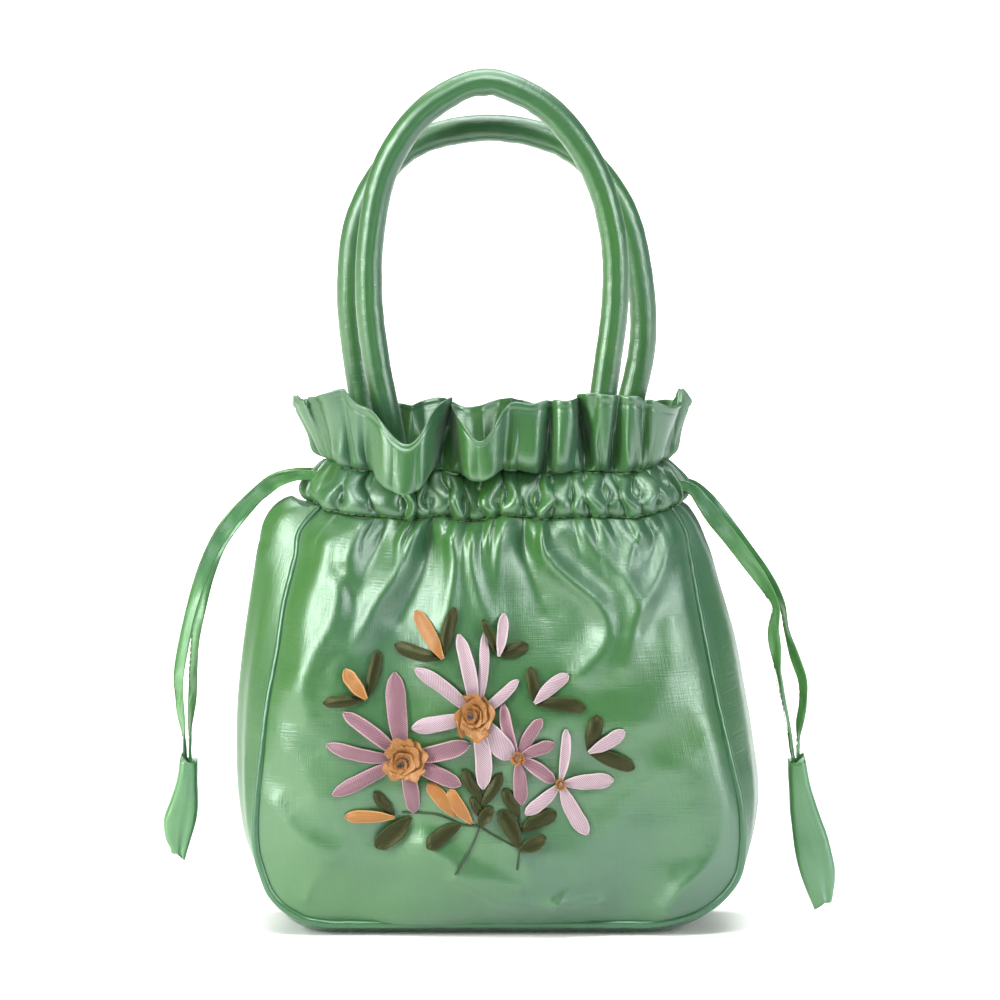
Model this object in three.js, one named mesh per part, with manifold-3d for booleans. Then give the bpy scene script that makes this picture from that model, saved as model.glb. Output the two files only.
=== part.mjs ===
// A gathered satin drawstring handbag: a filled pouch of two panels and a gusset, a drawn casing with a
// frill above it, two padded handles, two flat drawstrings and a spray of ribbon-worked flowers.
// Millimetres, +Z up, the front faces -Y and the origin is the middle of the flat bottom.
import * as THREE from "three";
import { mergeVertices } from "three/addons/utils/BufferGeometryUtils.js";
import Module from "manifold-3d";

const wasm = await Module();
wasm.setup();

// Driving sizes of the pouch
const panelWidth = 184; // seam to seam at the widest
const panelHeight = 158; // bottom seam to the lower stitch row
const bagDepth = 90; // over the filled front and back
const bottomRise = 4.6; // the bottom seams stand this high over the flat bottom
const footReach = { middle: 0.66, end: 0.5 }; // share of the gusset's width that lies flat
const sideBulge = 12; // how far the gusset swells outside the seams
const mouthSag = 2.5; // the mouth dips this much at front and back
const cloth = 1.2;
const seamGap = 0.35;
const pipingDiameter = 3.2;

// Driving sizes of the mouth
const casingHeight = 16.5;
const casingDraw = 6; // the upper stitch row is drawn in this far
const tunnelGap = 3.6; // clear space between the two layers of the casing
const gatherHeight = 3.2;
const frillHeight = 29; // from the upper stitch row to the edge, at the front
const frillBackHeight = 19; // the same at the back, where it falls back
const frillFlare = 8;
const frillThickness = 1.6;
const holeReach = 0.67; // share of the gusset's width at the mouth that each hole takes up
const sideLean = { left: 7, right: 1 }; // how far the frill falls outwards at the sides

// Driving sizes of the handles, the drawstrings and the ribbon work
const handleDiameter = 10.3;
const handleFoot = 4; // the handle ends stop this far over the lower stitch row
const frontHandleSpan = 93;
const frontHandleRise = 157;
const backHandleSpan = 110.6;
const backHandleRise = 137.5;
const tapeWidth = 7.5;
const tapeThickness = 0.9;
const tapeLevel = 2; // the two tapes lie this far over and under the middle of the tunnel
const ribbonLoft = 1.1; // height of a ribbon stitch over its edges
const ribbonLift = 0.4; // gap between the ribbon work and the panel

const satin = (name, color) => {
  const material = new THREE.MeshStandardMaterial({ color, roughness: 0.35, metalness: 0 });
  material.name = name;
  return material;
};
const greenSatin = satin("green satin", 0x6fb573);
const pipingSatin = satin("piping satin", 0x4f8f5c);
const tapeSatin = satin("tape satin", 0x66a86c);
const mauveRibbon = satin("mauve ribbon", 0xb98aa8);
const paleRibbon = satin("pale pink ribbon", 0xdcc0d2);
const apricotRibbon = satin("apricot ribbon", 0xd9a05e);
const oliveRibbon = satin("olive ribbon", 0x5b6427);

// Sections of the filled pouch, from the bottom seam up. up is a share of panelHeight, left and right are
// shares of half panelWidth, seam and belly of half bagDepth, each side's bulge of sideBulge.
const pouchSections = [
  { up: 0, left: 0.66, right: 0.61, seam: 0.64, belly: 0.64, bulgeLeft: 0, bulgeRight: 0 },
  { up: 0.012, left: 0.79, right: 0.745, seam: 0.65, belly: 0.69, bulgeLeft: 0.04, bulgeRight: 0.04 },
  { up: 0.033, left: 0.86, right: 0.85, seam: 0.655, belly: 0.755, bulgeLeft: 0.1, bulgeRight: 0.1 },
  { up: 0.068, left: 0.924, right: 0.929, seam: 0.66, belly: 0.82, bulgeLeft: 0.15, bulgeRight: 0.15 },
  { up: 0.117, left: 0.962, right: 0.989, seam: 0.665, belly: 0.88, bulgeLeft: 0.22, bulgeRight: 0.22 },
  { up: 0.19, left: 0.993, right: 1.01, seam: 0.67, belly: 0.94, bulgeLeft: 0.38, bulgeRight: 0.38 },
  { up: 0.3, left: 0.989, right: 1, seam: 0.67, belly: 0.985, bulgeLeft: 0.66, bulgeRight: 0.64 },
  { up: 0.42, left: 0.966, right: 0.952, seam: 0.66, belly: 1, bulgeLeft: 0.88, bulgeRight: 0.84 },
  { up: 0.54, left: 0.941, right: 0.904, seam: 0.62, belly: 0.985, bulgeLeft: 1, bulgeRight: 0.94 },
  { up: 0.66, left: 0.902, right: 0.862, seam: 0.56, belly: 0.94, bulgeLeft: 1.12, bulgeRight: 0.95 },
  { up: 0.78, left: 0.87, right: 0.822, seam: 0.47, belly: 0.86, bulgeLeft: 1.12, bulgeRight: 0.78 },
  { up: 0.88, left: 0.826, right: 0.791, seam: 0.37, belly: 0.77, bulgeLeft: 1.2, bulgeRight: 0.6 },
  { up: 0.95, left: 0.8, right: 0.765, seam: 0.29, belly: 0.69, bulgeLeft: 0.97, bulgeRight: 0.38 },
  { up: 1, left: 0.72, right: 0.712, seam: 0.24, belly: 0.62, bulgeLeft: 0.3, bulgeRight: 0.3 },
];

// Folds that run down from the gathers. top and foot are shares across the panel, reach is how far down
// the fold runs as a share of the panel's height, wide and high are in millimetres.
const frontFolds = [
  { top: 0.08, foot: 0.1, reach: 0.65, wide: 9, high: 4 },
  { top: 0.18, foot: 0.28, reach: 0.45, wide: 9, high: -4 },
  { top: 0.3, foot: 0.2, reach: 0.5, wide: 9, high: 5 },
  { top: 0.46, foot: 0.36, reach: 0.5, wide: 9, high: 6 },
  { top: 0.56, foot: 0.52, reach: 0.35, wide: 9, high: -5 },
  { top: 0.66, foot: 0.78, reach: 0.6, wide: 10, high: 6 },
  { top: 0.84, foot: 0.88, reach: 0.55, wide: 9, high: 5 },
];
const backFolds = [
  { top: 0.14, foot: 0.2, reach: 0.5, wide: 11, high: 4 },
  { top: 0.36, foot: 0.4, reach: 0.6, wide: 11, high: 5 },
  { top: 0.5, foot: 0.5, reach: 0.4, wide: 11, high: -4 },
  { top: 0.64, foot: 0.58, reach: 0.6, wide: 11, high: 5 },
  { top: 0.86, foot: 0.82, reach: 0.5, wide: 11, high: 4 },
];

const { lerp, smoothstep } = THREE.MathUtils;
const halfWidth = panelWidth / 2;
const halfDepth = bagDepth / 2;
const mouthZ = bottomRise + panelHeight;
const pipingRadius = pipingDiameter / 2;
const seamInset = pipingRadius + seamGap;

// A closed body from vertices and triangles, turned so that its faces point out.
function closedBody(points, faces) {
  let volume = 0;
  for (const [a, b, c] of faces) {
    volume += points[a].dot(new THREE.Vector3().crossVectors(points[b], points[c]));
  }
  const turned = volume < 0 ? faces.map(([a, b, c]) => [a, c, b]) : faces;
  const geometry = new THREE.BufferGeometry().setFromPoints(points);
  geometry.setIndex(turned.flat());
  return geometry;
}

// Faces between two rows of the same number of vertices, given by their first index.
function band(from, to, count, closed) {
  const faces = [];
  for (let i = 0; i < (closed ? count : count - 1); i++) {
    const next = (i + 1) % count;
    faces.push([from + i, from + next, to + next], [from + i, to + next, to + i]);
  }
  return faces;
}

// A body through closed sections of equal length, either round in a ring or with a flat cap at each end.
function loft(sections, ring = false) {
  const size = sections[0].length;
  const points = sections.flat();
  const faces = [];
  for (let k = 0; k < (ring ? sections.length : sections.length - 1); k++) {
    faces.push(...band(k * size, ((k + 1) % sections.length) * size, size, true));
  }
  if (!ring) {
    const last = (sections.length - 1) * size;
    for (let i = 1; i < size - 1; i++) {
      faces.push([0, i + 1, i], [last, last + i, last + i + 1]);
    }
  }
  return closedBody(points, faces);
}

// The unit normals of a grid of points, towards the side where `away` is negative.
function gridNormals(grid, away) {
  return grid.map((row, j) =>
    row.map((point, i) => {
      const across = new THREE.Vector3().subVectors(
        row[Math.min(i + 1, row.length - 1)],
        row[Math.max(i - 1, 0)],
      );
      const along = new THREE.Vector3().subVectors(
        grid[Math.min(j + 1, grid.length - 1)][i],
        grid[Math.max(j - 1, 0)][i],
      );
      const normal = across.cross(along).normalize();
      return normal.dot(away(point)) > 0 ? normal.negate() : normal;
    }),
  );
}

// A wall of cloth whose outer face is the grid. away points to the outside at each point, and the rows in
// rims lie at the mouth, where the wall's thickness runs level.
function clothWall(grid, away, rims) {
  const inward = gridNormals(grid, away);
  for (const row of rims) {
    inward[row].forEach((normal) => normal.setZ(0).normalize());
  }
  const inner = grid.map((row, j) =>
    row.map((point, i) => point.clone().addScaledVector(inward[j][i], cloth)),
  );
  const rows = grid.length;
  const columns = grid[0].length;
  const points = [...grid.flat(), ...inner.flat()];
  const half = rows * columns;
  const faces = [];
  for (let j = 0; j < rows - 1; j++) {
    faces.push(...band(j * columns, (j + 1) * columns, columns, false));
    faces.push(...band(half + (j + 1) * columns, half + j * columns, columns, false));
  }
  for (const [row, flip] of [[0, false], [rows - 1, true]]) {
    const [a, b] = flip ? [row * columns, half + row * columns] : [half + row * columns, row * columns];
    faces.push(...band(a, b, columns, false));
  }
  for (let j = 0; j < rows - 1; j++) {
    for (const [i, flip] of [[0, false], [columns - 1, true]]) {
      const a = j * columns + i;
      const b = a + columns;
      const quad = [[a, b, half + b], [a, half + b, half + a]];
      faces.push(...(flip ? quad.map(([p, q, r]) => [p, r, q]) : quad));
    }
  }
  return closedBody(points, faces);
}

// The pouch's section at a share `up` of the panel's height, as real sizes.
function pouchSection(up) {
  const above = Math.max(1, pouchSections.findIndex((row) => row.up >= up - 1e-9));
  const [low, high] = [pouchSections[above - 1], pouchSections[above]];
  const share = (up - low.up) / (high.up - low.up);
  const at = (column) => lerp(low[column], high[column], share);
  return {
    up,
    z: bottomRise + up * panelHeight,
    left: -at("left") * halfWidth,
    right: at("right") * halfWidth,
    seam: at("seam") * halfDepth,
    belly: at("belly") * halfDepth,
    bulgeLeft: at("bulgeLeft") * sideBulge,
    bulgeRight: at("bulgeRight") * sideBulge,
  };
}

// How far the panel stands out between its seams, from 0 at a seam to 1, squarer towards the mouth.
function fullness(across, up) {
  const off = Math.abs(2 * across - 1);
  return (1 - off ** (2.2 + 3.8 * up * up)) ** (1 / (1 + up));
}

function foldHeight(folds, across, up) {
  let height = 0;
  for (const fold of folds) {
    const foot = 1 - fold.reach;
    const fade = smoothstep(up, foot, 1);
    const centre = lerp(fold.foot, fold.top, Math.max(0, (up - foot) / fold.reach));
    const off = ((across - centre) * panelWidth) / fold.wide;
    height += fold.high * fade * Math.exp(-off * off);
  }
  return height * (1 - Math.abs(2 * across - 1) ** 6);
}

// The dip of the mouth at a depth y, used by every piece that meets a stitch row.
const dip = (y) => mouthSag * Math.min(1, (y / (pouchSections.at(-1).belly * halfDepth)) ** 2);

// The seam between a panel and the gusset, down the left side, along the bottom and up the right side.
const seamLine = [
  ...[...pouchSections].reverse().map((row) => ({ side: "left", section: pouchSection(row.up) })),
  ...[0.2, 0.4, 0.6, 0.8].map((share) => ({ side: "bottom", share, section: pouchSection(0) })),
  ...pouchSections.map((row) => ({ side: "right", section: pouchSection(row.up) })),
].map((stop) => {
  const { left, right, z } = stop.section;
  const x = stop.side === "left" ? left : stop.side === "right" ? right : lerp(left, right, stop.share);
  return { ...stop, x, z };
});
seamLine.forEach((stop, k) => {
  const before = seamLine[Math.max(0, k - 1)];
  const after = seamLine[Math.min(seamLine.length - 1, k + 1)];
  const along = new THREE.Vector2(after.x - before.x, after.z - before.z).normalize();
  stop.out = new THREE.Vector2(along.y, -along.x);
});
seamLine[0].out.set(-1, 0);
seamLine.at(-1).out.set(1, 0);

// A panel's outer face as a grid, inset from the seam for the piping.
function panelGrid(facing, folds, columns) {
  return pouchSections.map((row, j) => {
    const section = pouchSection(row.up);
    const leftStop = seamLine[pouchSections.length - 1 - j];
    const rightStop = seamLine[seamLine.length - pouchSections.length + j];
    return Array.from({ length: columns + 1 }, (_, i) => {
      const across = i / columns;
      const depth =
        section.seam +
        (section.belly - section.seam) * fullness(across, row.up) +
        foldHeight(folds, across, row.up) * (1 - row.up ** 12);
      const inset = (stop) => [stop.x - stop.out.x * seamInset, stop.z - stop.out.y * seamInset];
      const [[leftX, leftZ], [rightX, rightZ]] = [inset(leftStop), inset(rightStop)];
      const x = lerp(leftX, rightX, across);
      const z = lerp(leftZ, rightZ, across);
      const top = row.up === 1 ? section.z : z;
      return new THREE.Vector3(x, facing * depth, top - dip(depth) * row.up ** 4);
    });
  });
}

// The gusset: one strip from mouth to mouth round the bottom, swollen at the sides and flat underneath,
// where the weight of the filling presses out a rounded foot.
function gussetGrid() {
  return seamLine.map(({ x, z, out, section, side, share: along }) => {
    const depth = section.seam - seamInset;
    const underneath = side === "bottom" ? 1 : 1 - smoothstep(section.up, 0, 0.07);
    const endward = side === "bottom" ? (2 * along - 1) ** 2 : 1;
    const foot = lerp(footReach.middle, footReach.end, endward);
    const bulge = side === "right" ? section.bulgeRight : section.bulgeLeft;
    return [-1, -0.84, -foot, 0, foot, 0.84, 1].map((share) => {
      const flat = Math.min(1, (1 - Math.abs(share)) / 0.28) ** 0.5;
      const swell = bulge * (1 - share * share) + underneath * 1.02 * bottomRise * flat;
      const y = share * depth;
      const low = Math.max(0, z + out.y * swell);
      return new THREE.Vector3(x + out.x * swell, y, low - dip(y) * section.up ** 4);
    });
  });
}

// Piping along the seam at one side of the gusset.
function pipingGeometry(facing) {
  const sides = 5;
  const sections = seamLine.map(({ x, z, out, section }, k) => {
    const y = facing * section.seam;
    const top = k === 0 || k === seamLine.length - 1 ? dip(y) : 0;
    const centre = new THREE.Vector3(x, y, z - top);
    return Array.from({ length: sides }, (_, i) => {
      const turn = (2 * Math.PI * i) / sides;
      const outward = pipingRadius * Math.cos(turn);
      return new THREE.Vector3(
        centre.x + out.x * outward,
        centre.y + pipingRadius * Math.sin(turn),
        Math.max(0, centre.z + out.y * outward),
      );
    });
  });
  return loft(sections);
}

// The plan of the mouth at the lower stitch row, anticlockwise from the left front seam, with the
// directions outward.
function mouthLoop(frontSteps, sideSteps) {
  const { left, right, seam, belly, bulgeLeft, bulgeRight } = pouchSection(1);
  const panelStep = (across) => ({
    x: lerp(left, right, across),
    y: seam + (belly - seam) * fullness(across, 1),
  });
  const plan = [];
  for (let i = 0; i < frontSteps; i++) {
    const { x, y } = panelStep(i / frontSteps);
    plan.push({ x, y: -y, front: i / frontSteps });
  }
  for (let i = 0; i < sideSteps; i++) {
    const share = -1 + (2 * i) / sideSteps;
    plan.push({ x: right + bulgeRight * (1 - share * share), y: share * seam, side: 1 });
  }
  for (let i = frontSteps; i > 0; i--) {
    const { x, y } = panelStep(i / frontSteps);
    plan.push({ x, y, back: 1 - i / frontSteps });
  }
  for (let i = 0; i < sideSteps; i++) {
    const share = 1 - (2 * i) / sideSteps;
    plan.push({ x: left - bulgeLeft * (1 - share * share), y: share * seam, side: -1 });
  }
  plan.forEach((stop, k) => {
    const before = plan[(k - 1 + plan.length) % plan.length];
    const after = plan[(k + 1) % plan.length];
    const along = new THREE.Vector2(after.x - before.x, after.y - before.y).normalize();
    stop.out = new THREE.Vector2(along.y, -along.x);
    stop.index = k;
  });
  return plan;
}

// A point of the casing: out from the loop's line, at a share of the casing's height.
function casingPoint(stop, out, share) {
  const offset = out - casingDraw * smoothstep(share, 0, 1);
  const y = stop.y + stop.out.y * offset;
  return new THREE.Vector3(
    stop.x + stop.out.x * offset,
    y,
    mouthZ + seamGap + share * (casingHeight - seamGap) - dip(stop.y),
  );
}

const casingLoop = mouthLoop(22, 6);
const gather = (k) => {
  const plain = casingLoop[k].side !== undefined || k % 2 === 0;
  return plain ? 0 : gatherHeight * (0.25 + 0.75 * Math.abs(Math.sin(k * 1.7)));
};

function toManifold(geometry) {
  const bare = new THREE.BufferGeometry();
  bare.setAttribute("position", geometry.getAttribute("position"));
  bare.setIndex(geometry.index);
  const merged = mergeVertices(bare, 1e-4);
  return new wasm.Manifold(
    new wasm.Mesh({
      numProp: 3,
      vertProperties: new Float32Array(merged.attributes.position.array),
      triVerts: new Uint32Array(merged.index.array),
    }),
  );
}

function fromManifold(body) {
  const mesh = body.getMesh();
  const geometry = new THREE.BufferGeometry();
  geometry.setAttribute("position", new THREE.BufferAttribute(Float32Array.from(mesh.vertProperties), 3));
  geometry.setIndex([...mesh.triVerts]);
  return geometry;
}

// The casing: two layers of cloth stitched together above and below a tunnel, with a hole at each side.
function casingGeometry() {
  const half = tunnelGap / 2;
  const outer = casingLoop.map((stop, k) => {
    const puff = gather(k);
    return [
      [cloth, 0],
      [half + cloth + puff, 0.25],
      [half + cloth + puff, 0.75],
      [cloth, 1],
      [-cloth, 1],
      [-half - cloth, 0.8],
      [-half - cloth, 0.2],
      [-cloth, 0],
    ].map(([out, share]) => casingPoint(stop, out, share));
  });
  const tunnel = casingLoop.map((stop, k) => {
    const puff = gather(k);
    return [
      [half + 0.85 * puff, 0.22],
      [half + 0.85 * puff, 0.78],
      [-half, 0.8],
      [-half, 0.2],
    ].map(([out, share]) => casingPoint(stop, out, share));
  });
  let body = toManifold(loft(outer, true)).subtract(toManifold(loft(tunnel, true)));
  for (const side of [-1, 1]) {
    const seam = pouchSection(1).seam;
    const sideStops = casingLoop.filter(
      (stop) => stop.side === side && Math.abs(stop.y) <= holeReach * seam + 1e-6,
    );
    const corners = [[0, 0.21], [sideBulge, 0.21], [sideBulge, 0.79], [0, 0.79]];
    const cutter = sideStops.map((stop) => corners.map(([out, share]) => casingPoint(stop, out, share)));
    body = body.subtract(toManifold(loft(cutter)));
  }
  return fromManifold(body);
}

// The frill's lobes along the front and the back. at and half are shares along the panel, lean is how far
// the edge falls outwards, belly how far the cloth rolls over the casing, drop how far the edge sinks.
const frontLobes = [
  { at: 0.06, half: 0.05, lean: -2, belly: 0, drop: -3 },
  { at: 0.24, half: 0.075, lean: 13, belly: 12, drop: 20 },
  { at: 0.365, half: 0.035, lean: -9, belly: -2, drop: -1 },
  { at: 0.466, half: 0.055, lean: 10, belly: 8, drop: 17 },
  { at: 0.6, half: 0.06, lean: 4, belly: 4, drop: 1 },
  { at: 0.69, half: 0.03, lean: -3, belly: 0, drop: -1 },
  { at: 0.78, half: 0.03, lean: -8, belly: -2, drop: -2 },
  { at: 0.87, half: 0.05, lean: 5, belly: 3, drop: -2 },
];
const backLobes = [
  { at: 0.1, half: 0.06, lean: 4, belly: 1, drop: 1 },
  { at: 0.22, half: 0.04, lean: -5, belly: 0, drop: -1 },
  { at: 0.34, half: 0.06, lean: 6, belly: 2, drop: 3 },
  { at: 0.47, half: 0.04, lean: -5, belly: 0, drop: -2 },
  { at: 0.6, half: 0.06, lean: 5, belly: 2, drop: 1 },
  { at: 0.74, half: 0.04, lean: -5, belly: 0, drop: -1 },
  { at: 0.87, half: 0.06, lean: 5, belly: 2, drop: 2 },
];

function lobeSum(stop, column) {
  const lobes = stop.front !== undefined ? frontLobes : stop.back !== undefined ? backLobes : [];
  const along = stop.front ?? stop.back;
  const weight = (lobe) => Math.exp(-(((along - lobe.at) / lobe.half) ** 2));
  return lobes.reduce((sum, lobe) => sum + lobe[column] * weight(lobe), 0);
}

// The frill: a doubled strip that stands up from the upper stitch row, in waves.
function frillGeometry() {
  const loop = mouthLoop(28, 5);
  const levels = [0, 0.3, 0.62, 1];
  const base = mouthZ + casingHeight + seamGap;
  const sections = loop.map((stop) => {
    const atSide = stop.side === 1 ? sideLean.right : stop.side === -1 ? sideLean.left : 0;
    const lean = lobeSum(stop, "lean") + atSide;
    const belly = lobeSum(stop, "belly");
    const drop = lobeSum(stop, "drop");
    const tall = lerp(frillHeight, frillBackHeight, smoothstep(stop.y, -halfDepth / 4, halfDepth / 4));
    const face = (shift) =>
      levels.map((level) => {
        const rolled = belly * Math.sin(Math.PI * level ** 0.6);
        const offset = -casingDraw + frillFlare * level ** 1.3 + lean * level + rolled + shift;
        const sunk = Math.max(0, belly) * 0.5 * Math.sin(Math.PI * level) * (1 - level);
        const rise = (tall - drop) * level - sunk;
        return new THREE.Vector3(
          stop.x + stop.out.x * offset,
          stop.y + stop.out.y * offset,
          base + Math.max(0, rise) - dip(stop.y),
        );
      });
    return [...face(frillThickness / 2), ...face(-frillThickness / 2).reverse()];
  });
  return loft(sections, true);
}

// A handle: a stuffed tube from inside the casing, up and over, and down again. across is a share of half
// the span, up a share of the rise above the handle's foot.
const frontHandleLine = [
  { across: -0.78, up: 0 },
  { across: -0.87, up: 0.16 },
  { across: -0.98, up: 0.32 },
  { across: -1.04, up: 0.47 },
  { across: -1.02, up: 0.64 },
  { across: -0.88, up: 0.81 },
  { across: -0.48, up: 0.955 },
  { across: -0.1, up: 1 },
  { across: 0.3, up: 0.96 },
  { across: 0.73, up: 0.82 },
  { across: 0.93, up: 0.65 },
  { across: 0.96, up: 0.47 },
  { across: 0.9, up: 0.32 },
  { across: 0.82, up: 0.16 },
  { across: 0.72, up: 0 },
];
const backHandleLine = [
  { across: -0.82, up: 0 },
  { across: -0.9, up: 0.18 },
  { across: -0.97, up: 0.36 },
  { across: -1.01, up: 0.56 },
  { across: -0.94, up: 0.76 },
  { across: -0.66, up: 0.93 },
  { across: -0.04, up: 1 },
  { across: 0.52, up: 0.94 },
  { across: 0.84, up: 0.79 },
  { across: 0.98, up: 0.58 },
  { across: 1, up: 0.4 },
  { across: 0.9, up: 0.2 },
  { across: 0.8, up: 0 },
];

function handleGeometry(line, facing, span, rise) {
  const sides = 7;
  const foot = mouthZ + handleFoot;
  const wall = pouchSections.at(-1).belly * halfDepth - casingDraw - tunnelGap / 2 - cloth;
  const footY = facing * (wall - seamGap - handleDiameter / 2);
  const curve = new THREE.CatmullRomCurve3(
    line.map(
      ({ across, up }) => new THREE.Vector3((across * span) / 2, footY * (1 - 0.3 * up), foot + up * rise),
    ),
    false,
    "centripetal",
  );
  const steps = Math.round(1.5 * line.length);
  const sections = curve.getSpacedPoints(steps).map((centre, k) => {
    const along = curve.getTangentAt(k / steps);
    const depth = new THREE.Vector3(0, 1, 0).addScaledVector(along, -along.y).normalize();
    const across = new THREE.Vector3().crossVectors(along, depth);
    return Array.from({ length: sides }, (_, i) => {
      const turn = (2 * Math.PI * i) / sides;
      return centre
        .clone()
        .addScaledVector(across, (Math.cos(turn) * handleDiameter) / 2)
        .addScaledVector(depth, (Math.sin(turn) * handleDiameter) / 2);
    });
  });
  return loft(sections);
}

// The hanging stretches of the drawstrings, from the casing's hole down into the tab. Each row is x, y and z
// of the tape's middle and the turn of its face away from the front in degrees.
const leftFrontRun = [
  [-64.9, -5, 0, 0], [-71, -4.5, 0.4, 0], [-77, -5, 0.8, 0], [-84, -5.4, -0.6, 0],
  [-90, -5.6, -4.6, 0], [-96.6, -5.5, -10, 0], [-102.6, -5.2, -17, 0], [-108, -5, -26, 0],
  [-112.8, -4.8, -38, 5], [-116.4, -4.5, -50, 20], [-119, -4.2, -62, 35], [-121, -3.8, -74, 35],
  [-120.8, -3.2, -84, 50], [-119.8, -1.6, -94, 75], [-119, 0, -103, 88], [-118.6, 0, -111, 90],
  [-118.8, 0, -117, 90],
];
const leftBackRun = [
  [-64.9, 5, 0, 0], [-71, 4.5, 0.2, 0], [-77, 4.5, 0.2, 0], [-84, 4.4, -1.6, 0], [-90, 4, -5.6, 0],
  [-96.2, 3.4, -11.4, 0], [-101.8, 3, -19, 0], [-106.8, 2.8, -28, 0], [-110.8, 2.6, -39, 5],
  [-113.4, 2.4, -51, 20], [-114.8, 2.2, -62, 35], [-115.6, 2, -74, 35], [-116, 1.8, -84, 50],
  [-116.8, 1, -94, 75], [-117, 0, -103, 88], [-116.8, 0, -111, 90], [-117, 0, -117, 90],
];
const rightFrontRun = [
  [65.8, -5, 0, 0], [70, -4.5, 0.5, 0], [74.6, -5.2, -2, 0], [78.2, -5.5, -7, 0],
  [82.8, -5.6, -14, 0], [88.6, -5.2, -21.6, 0], [94.6, -5, -29.6, 10], [100.6, -4.6, -38, 30],
  [106, -4.4, -48, 55], [105.2, -4.2, -57, 45], [106.2, -4, -66, 45], [107.4, -3.6, -75, 50],
  [109.2, -2.6, -84, 65], [110.8, -1.4, -93, 78], [112.2, -0.4, -102, 86], [113.4, 0, -110, 90],
  [114.4, 0, -117, 90],
];
const rightBackRun = [
  [65.8, 5, 0, 0], [70, 4.5, 0.5, 0], [74.8, 4.6, -1.6, 0], [79, 4.4, -6.4, 0], [84, 4, -13, 0],
  [89.8, 3.4, -20.6, 0], [95.6, 3, -28.6, 10], [101.8, 2.8, -37, 30], [108.4, 2.6, -48, 60],
  [110.4, 2.4, -58, 65], [113.4, 2.2, -68, 55], [116.6, 2, -78, 50], [116.6, 1.8, -87, 55],
  [115.4, 1.2, -95, 70], [114.8, 0.4, -103, 84], [115, 0, -110, 90], [116.2, 0, -117, 90],
];
const tunnelZ = mouthZ + casingHeight / 2;

// One drawstring: up from the tab, round the tunnel inside the casing, folded lengthwise, and down again.
// level says whether it lies in the upper or in the lower half of the tunnel.
function drawstringGeometry(frontRun, backRun, side, level) {
  const turns = casingLoop.length;
  const middle = casingLoop.findIndex((stop) => stop.side === side && Math.abs(stop.y) < 1e-6);
  const share = 0.5 + (level * tapeLevel) / casingHeight;
  const route = [];
  const hang = (run) =>
    run.map(([x, y, down, turn], k) => {
      const point = (row) => new THREE.Vector3(row[0], row[1], row[2]);
      const [before, after] = [run[Math.max(0, k - 1)], run[Math.min(run.length - 1, k + 1)]];
      const along = point(after).sub(point(before)).normalize();
      const face = new THREE.Vector3(0, -1, 0).addScaledVector(along, along.y).normalize();
      face.applyAxisAngle(along, (turn * Math.PI) / 180);
      const open = Math.min(1, 0.46 + 0.2 * Math.max(0, k - 1));
      const inTunnel = Math.min(1, Math.max(0, 1.25 - k / 4));
      const centre = new THREE.Vector3(x, y, tunnelZ + down + level * tapeLevel * inTunnel);
      return { centre, face, width: new THREE.Vector3().crossVectors(along, face), open };
    });
  route.push(...hang(frontRun).reverse());
  for (let step = 3; step <= turns - 3; step++) {
    const stop = casingLoop[(middle + (side < 0 ? step : turns - step)) % turns];
    const width = casingPoint(stop, 0, share + 0.1).sub(casingPoint(stop, 0, share - 0.1)).normalize();
    const face = new THREE.Vector3(stop.out.x, stop.out.y, 0);
    route.push({ centre: casingPoint(stop, 0, share), face, width, open: 0.46 });
  }
  route.push(...hang(backRun));
  const sections = [];
  route.forEach((stop, k) => {
    const before = sections[k - 1];
    const { centre, open } = stop;
    const wide = stop.width.clone();
    const flat = stop.face.clone();
    if (before && wide.dot(before.wide) < 0) wide.negate();
    if (before && flat.dot(before.flat) < 0) flat.negate();
    sections.push({ centre, open, wide, flat });
  });
  return loft(
    sections.map(({ centre, open, wide, flat }) =>
      [[-1, -1], [1, -1], [1, 1], [-1, 1]].map(([w, f]) =>
        centre
          .clone()
          .addScaledVector(wide, (w * open * tapeWidth) / 2)
          .addScaledVector(flat, (f * tapeThickness * (open < 0.6 ? 1.5 : 1)) / 2),
      ),
    ),
  );
}

// A tab: a piece of satin folded round the ends of a drawstring, open at the bottom. Each row is x and z of
// the middle, the width and the depth.
const leftTabRows = [
  [-117.7, -108, 7, 11.8], [-118, -115, 8, 11.4], [-119.4, -124, 10.8, 9],
  [-121, -131, 12.4, 8], [-121.8, -138, 9.8, 6.5], [-122, -144, 5.6, 5.4],
];
const rightTabRows = [
  [114.1, -108, 7, 11.8], [115.5, -118, 8.6, 11.2], [117.2, -128, 11, 9.4], [119.6, -138, 13.4, 8.4],
  [121.6, -148, 13.8, 7.4], [123.2, -156, 11.4, 6.4], [124.8, -163, 7, 5.4],
];

function tabGeometry(rows) {
  const body = (rim, reach) =>
    loft(
      rows.map(([x, down, wide, deep], k) => {
        const z = tunnelZ + down + (k === 0 ? reach : k === rows.length - 1 ? -reach : 0);
        return Array.from({ length: 8 }, (_, i) => {
          const turn = (2 * Math.PI * i) / 8;
          const [c, s] = [Math.cos(turn), Math.sin(turn)];
          const corner = (c ** 4 + s ** 4) ** 0.25;
          return new THREE.Vector3(x + ((wide / 2 - rim) * c) / corner, ((deep / 2 - rim) * s) / corner, z);
        });
      }),
    );
  return fromManifold(toManifold(body(0, 0)).subtract(toManifold(body(cloth, 1))));
}

const frontGrid = panelGrid(-1, frontFolds, 20);
const backGrid = panelGrid(1, backFolds, 14);

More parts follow.
